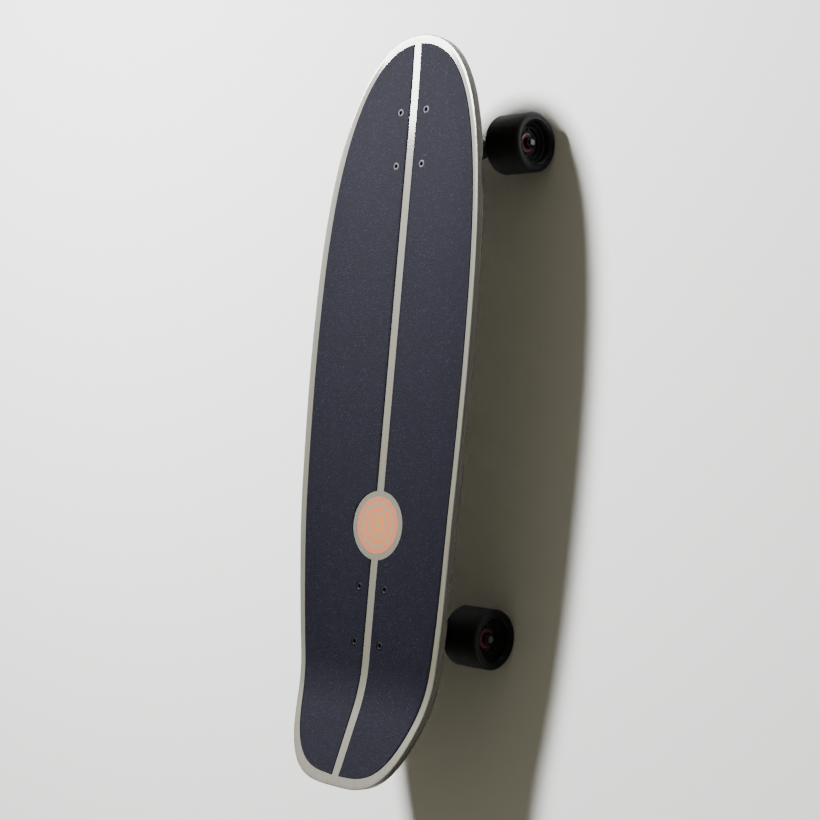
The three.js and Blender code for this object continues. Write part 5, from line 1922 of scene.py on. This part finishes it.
@dataclass
class HangerUnit:
    """A hanger with its axle, and what holds it: kingpin, bushings, washer, nut and pivot cup.

    Attributes:
        carrier: The body that carries the hanger.
        sides: The board's sides, the one on the truck's own left first.
        head: The kingpin's head: width across flats, low face and top.
        barrel: The board-side bushing's radii from top to bottom, and its two heights.
        cone: The same of the road-side bushing.
        board_bend: The heights where the board-side bushing's bend starts and ends.
        road_bend: The same of the road-side bushing.
        washer: The cup washer, as radius and height on the kingpin.
        cup: The pivot cup, as radius and height on the lean axis.
        casting_half: Half of the hanger's barrel, from its end to where it thickens.
        ring: The ring round the kingpin: its radius, and its low and top face.
        stem: The pivot stem, as radius and height on the lean axis.
    """

    truck: Truck
    carrier: str
    sides: Sequence[str]
    kingpin_radius: float = 4.76
    kingpin_end: float = -51.6
    kingpin_pitch: float = 1.06
    head: Place = (14.3, 0.3, 6.2)
    barrel: tuple[Sequence[float], Point] = ((11.6, 12.2, 12.4, 12.2, 11.6), (-10.3, -21.7))
    cone: tuple[Sequence[float], Point] = ((12.4, 12.4, 11.6, 10.4, 9.4), (-30.3, -40.7))
    board_bend: Point = (-11.5, -20.5)
    road_bend: Point = (-39.5, -31.5)
    bushing_ease: float = 0.9
    chord: float = 1.2
    washer: Sequence[Point] = (
        (5.06, -43), (10.5, -43), (11.8, -41.7), (11.8, -39.7), (11.0, -39.7), (11.0, -41), (5.06, -41))
    cup: Sequence[Point] = (
        (0, 6.2), (7.4, 6.2), (8, 5.6), (8, -4.6), (6.1, -4.6), (5.5, -4), (5.5, 4.6), (0, 4.6))
    nut_top: float = -43.3
    king_nut: LockNut = LockNut(14.3, 4.69, 2.01, 6.4, 5.06)
    casting_half: Sequence[Point] = (
        (0, 75.7), (7.8, 75.7), (9, 74.5), (9, 52), (9.5, 46), (11.1, 30), (11.5, 26))
    ring: Place = (15.2, -29.7, -22.3)
    stem: Sequence[Point] = (
        (0, 4.3), (2.6, 4.0), (4.4, 3.0), (5.2, 1.7), (5.2, -6.6), (6.7, -23.3), (0, -23.3))
    axle_radius: float = 4.0
    axle_half: float = 107.5
    axle_pitch: float = 0.9
    threaded: float = 13.0
    nut_face: float = 100.3
    axle_nut: LockNut = LockNut(12.7, 4.55, 1.95, 4.9, 4.3)

    def kingpin(self) -> Form:
        """The kingpin: a chamfered hexagon head, a plain shank and a fine thread."""
        across, low, high = self.head
        radius, end = self.kingpin_radius, self.kingpin_end
        rings: list[Ring | Point] = [
            (0, high), *chamfered(across, high, -1.0), hexagon(across, low), (radius, low),
            (radius, self.nut_top + 1.5), *thread(radius, self.kingpin_pitch, self.nut_top + 1.2, end + 1.2),
            (radius - 1.1, end), (0, end),
        ]
        return turned(rings, 48)

    def bushing(self, radii: Sequence[float], span: Point) -> Form:
        """A urethane bushing, finely ringed.

        Args:
            radii: Its outer radii, evenly from top to bottom.
            span: Its upper and lower height.

        Returns:
            The form, closed round its bore.
        """
        high, low = span
        bore = self.truck.kingpin_hole
        outer = [(radius, high + (low - high) * i / (len(radii) - 1)) for i, radius in enumerate(radii)]
        rings = eased([(bore, high), *outer, (bore, low)], self.bushing_ease, loop=True)
        fine: list[Point] = []
        for (r0, h0), (r1, h1) in zip(rings, [*rings[1:], rings[0]]):
            count = max(1, round(math.hypot(r1 - r0, h1 - h0) / self.chord))
            fine.extend((r0 + (r1 - r0) * k / count, h0 + (h1 - h0) * k / count) for k in range(count))
        return turned(fine, 64, loop=True)

    def stack(self) -> None:
        """Makes what stands on the kingpin, and the pivot cup."""
        placed = self.truck.seat @ KINGPIN
        end = self.truck.end
        Piece(f"{end}_king_bolt", "dark_steel", [Surface.BLACK_STEEL], [f"{end}_kingpin"]).from_form(
            self.kingpin(), placed)
        for name, sizes, bend in (
            ("board", self.barrel, self.board_bend), ("road", self.cone, self.road_bend),
        ):
            start, stop = (placed @ Vector((0, 0, level)) for level in bend)
            Piece(f"{end}_{name}_side_bushing", "bushing", [Surface.BUSHING], [f"{end}_{name}_bushing"],
                  bends=(self.carrier, f"{end}_hanger", start, stop), crease=60).from_form(
                self.bushing(*sizes), placed)
        Piece(f"{end}_bushing_cup", "steel", [Surface.STEEL], [f"{end}_cup_washer"]).from_form(
            turned(eased(self.washer, 0.3, loop=True), 64, loop=True), placed)
        Piece(f"{end}_king_nut", "steel", [Surface.STEEL, Surface.NYLON], [f"{end}_kingpin_nut"]).from_form(
            self.king_nut.form(), placed @ shift(z=self.nut_top))
        Piece(f"{end}_hanger_cup", "pivot_cup", [Surface.PIVOT_CUP], [f"{end}_pivot_cup"]).from_form(
            turned(eased(self.cup, 0.4), 64), self.truck.seat @ LEAN)

    def casting(self) -> None:
        """Makes the hanger: barrel, ring round the kingpin, gussets between them, and the pivot stem."""
        def gusset(frame_at: Matrix, radius: float, top: float, low: float, reach: float) -> Form:
            """The hull of a disc on a frame and a length of the barrel."""
            ends = [
                *circle(radius, top, 48, frame_at=frame_at), *circle(radius, low, 48, frame_at=frame_at),
                *circle(8.6, reach, 48, frame_at=ACROSS), *circle(8.6, -reach, 48, frame_at=ACROSS),
            ]
            return hull(ends)

        radius, low, high = self.ring
        cleared = radius + 0.8
        steps = [
            (Cut.ADD, gusset(KINGPIN, 11, -23, -29, 46)), (Cut.ADD, gusset(LEAN, 7, -23, -30, 22)),
            (Cut.ADD, turned(self.stem, 64).moved(LEAN)),
            (Cut.CUT, bar(cleared, high + 0.3, 10, 96).moved(KINGPIN)),
            (Cut.CUT, bar(cleared, -60, low - 0.3, 96).moved(KINGPIN)),
            (Cut.ADD, bar(radius, low, high, 96).moved(KINGPIN)),
        ]
        barrel = turned(mirrored(self.casting_half), 72).moved(ACROSS)
        name = f"{self.truck.end}_hanger"
        cast(f"{name}_casting", name, barrel, self.truck.seat, steps, [bar(9, -60, 0, 64).moved(KINGPIN)])

    def axle(self) -> None:
        """Makes the steel axle that is cast into the hanger, threaded at both ends, and its nuts."""
        radius, half = self.axle_radius, self.axle_half
        start = half - self.threaded
        tip = radius - 0.7
        rings: list[Ring | Point] = [
            (0, half), (tip, half), *thread(radius, self.axle_pitch, half - 0.5, start),
            (radius, start - 0.3), (radius, 0.3 - start),
            *thread(radius, self.axle_pitch, -start, 0.5 - half), (tip, -half), (0, -half),
        ]
        end = self.truck.end
        across = self.truck.seat @ ACROSS
        Piece(f"{end}_axle", "steel", [Surface.AXLE_STEEL], body=f"{end}_hanger").from_form(
            turned(rings, 36), across)
        for side, way, turn in zip(self.sides, (1, -1), (math.pi, 0)):
            placed = across @ shift(z=way * self.nut_face) @ Matrix.Rotation(turn, 4, "X")
            Piece(f"{end}_{side}_wheel_nut", "dark_steel", [Surface.BLACK_STEEL, Surface.BLACK_STEEL],
                  [f"{end}_{side}_axle_nut"]).from_form(self.axle_nut.form(), placed)

    def build(self) -> None:
        """Makes the whole unit."""
        self.stack()
        self.casting()
        self.axle()


def aimed(at: Sequence[float], look: Vector, side: Vector, up: Vector) -> Matrix:
    """Where a light or a camera stands in metres, from its place in millimetres and its three ways."""
    return Matrix.Translation(Vector(at) * MM) @ Matrix((side, up, -look)).transposed().to_4x4()


@dataclass(frozen=True)
class AreaLight:
    """A soft rectangular light, its first side level.

    Attributes:
        name: Its name.
        at: Where it is, in millimetres.
        size: Its two sides, in millimetres.
        power: Its power in watts.
        aim: The point that it faces, in millimetres.
        spread: How wide its beam is, in degrees.
        is_gloss_only: Whether only a sheen shows it, as a white card does that lights nothing.
    """

    name: str
    at: Place
    size: Point
    power: float
    aim: Place = (0.0, 0.0, 0.0)
    spread: float = 180.0
    is_gloss_only: bool = True

    def build(self) -> None:
        """Makes the light."""
        data = bpy.data.lights.new(self.name, "AREA")
        data.shape = "RECTANGLE"
        data.size, data.size_y = (side * MM for side in self.size)
        data.energy = self.power
        data.spread = math.radians(self.spread)
        light = bpy.data.objects.new(self.name, data)
        look = (Vector(self.aim) - Vector(self.at)).normalized()
        level = look.cross(Vector((0, 0, 1))).normalized()
        light.matrix_world = aimed(self.at, look, level, level.cross(look))
        light.visible_diffuse = not self.is_gloss_only
        bpy.context.scene.collection.objects.link(light)


@dataclass
class Studio:
    """The floor, the soft light and the camera, placed as the photograph was taken.

    One key light from behind and to the right lights the board. Two cards beside it show only as the sheen
    on the sheet, the rail and the tyres. The sky fills the shadows.
    """

    camera_at: Place = (-93.77, -1336.03, 1438.13)
    look: Place = (0.04873, 0.70286, -0.70965)
    up: Place = (0.99510, 0.02705, 0.09512)
    lens: float = 71.43
    sensor: float = 36.0
    floor_half: float = 30000.0
    lights: Sequence[AreaLight] = (
        AreaLight("key_light", (1400.0, 1000.0, 2260.0), (480.0, 480.0), 190.0,
                  (500.0, 500.0, 0.0), 150.0, is_gloss_only=False),
        AreaLight("gloss_card", (1460.0, 2200.0, 2260.0), (800.0, 800.0), 295.0),
        AreaLight("gloss_strip", (1150.0, 1300.0, 1350.0), (1400.0, 400.0), 12.0),
    )
    sky: str = "#ccc6ac"
    sky_strength: float = 0.3

    def build(self) -> None:
        """Makes the floor, the lights and the camera."""
        reach = self.floor_half
        corners = [(-reach, -reach), (reach, -reach), (reach, reach), (-reach, reach)]
        floor = Form().loft([[Vector((x, y, 0)) for x, y in corners]], caps=(True, False))
        mesh = floor.mesh("floor", Matrix.Identity(4))
        mesh.materials.append(Surface.FLOOR.value.material())
        new_object(mesh)
        for light in self.lights:
            light.build()
        world = bpy.data.worlds.new("studio")
        world.use_nodes = True
        sky = world.node_tree.nodes["Background"]
        sky.inputs["Color"].default_value = linear(self.sky)
        sky.inputs["Strength"].default_value = self.sky_strength
        bpy.context.scene.world = world
        data = bpy.data.cameras.new("camera")
        data.lens = self.lens
        data.sensor_width = self.sensor
        camera = bpy.data.objects.new("camera", data)
        look, up = Vector(self.look), Vector(self.up)
        camera.matrix_world = aimed(self.camera_at, look, look.cross(up), up)
        bpy.context.scene.collection.objects.link(camera)
        bpy.context.scene.camera = camera


def main() -> None:
    """Builds the board, piece by piece."""
    logging.basicConfig(level=logging.INFO, format="%(name)s: %(message)s")
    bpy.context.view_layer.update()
    Studio().build()
    shape = BoardShape()
    Deck(shape).build()
    GripSheet(shape).build()
    DeckBolts(shape).build()
    for end in ("front", "rear"):
        for side in ("left", "right"):
            Wheel(end, side).build()
    front = Truck(shape, "front", riser=3.0, flange=7.0, seat_shift=0.0)
    rear = Truck(shape, "rear", riser=15.0, flange=8.0, seat_shift=8.45)
    swivel = Swivel(front)
    swivel.build()
    FrontTruckPlates(front, swivel).build()
    RearTruckPlate(rear).build()
    for truck, carrier, sides in ((front, "swing_arm", ("left", "right")), (rear, "deck", ("right", "left"))):
        truck.riser_pad()
        HangerUnit(truck, carrier, sides).build()


if __name__ == "__main__":
    main()
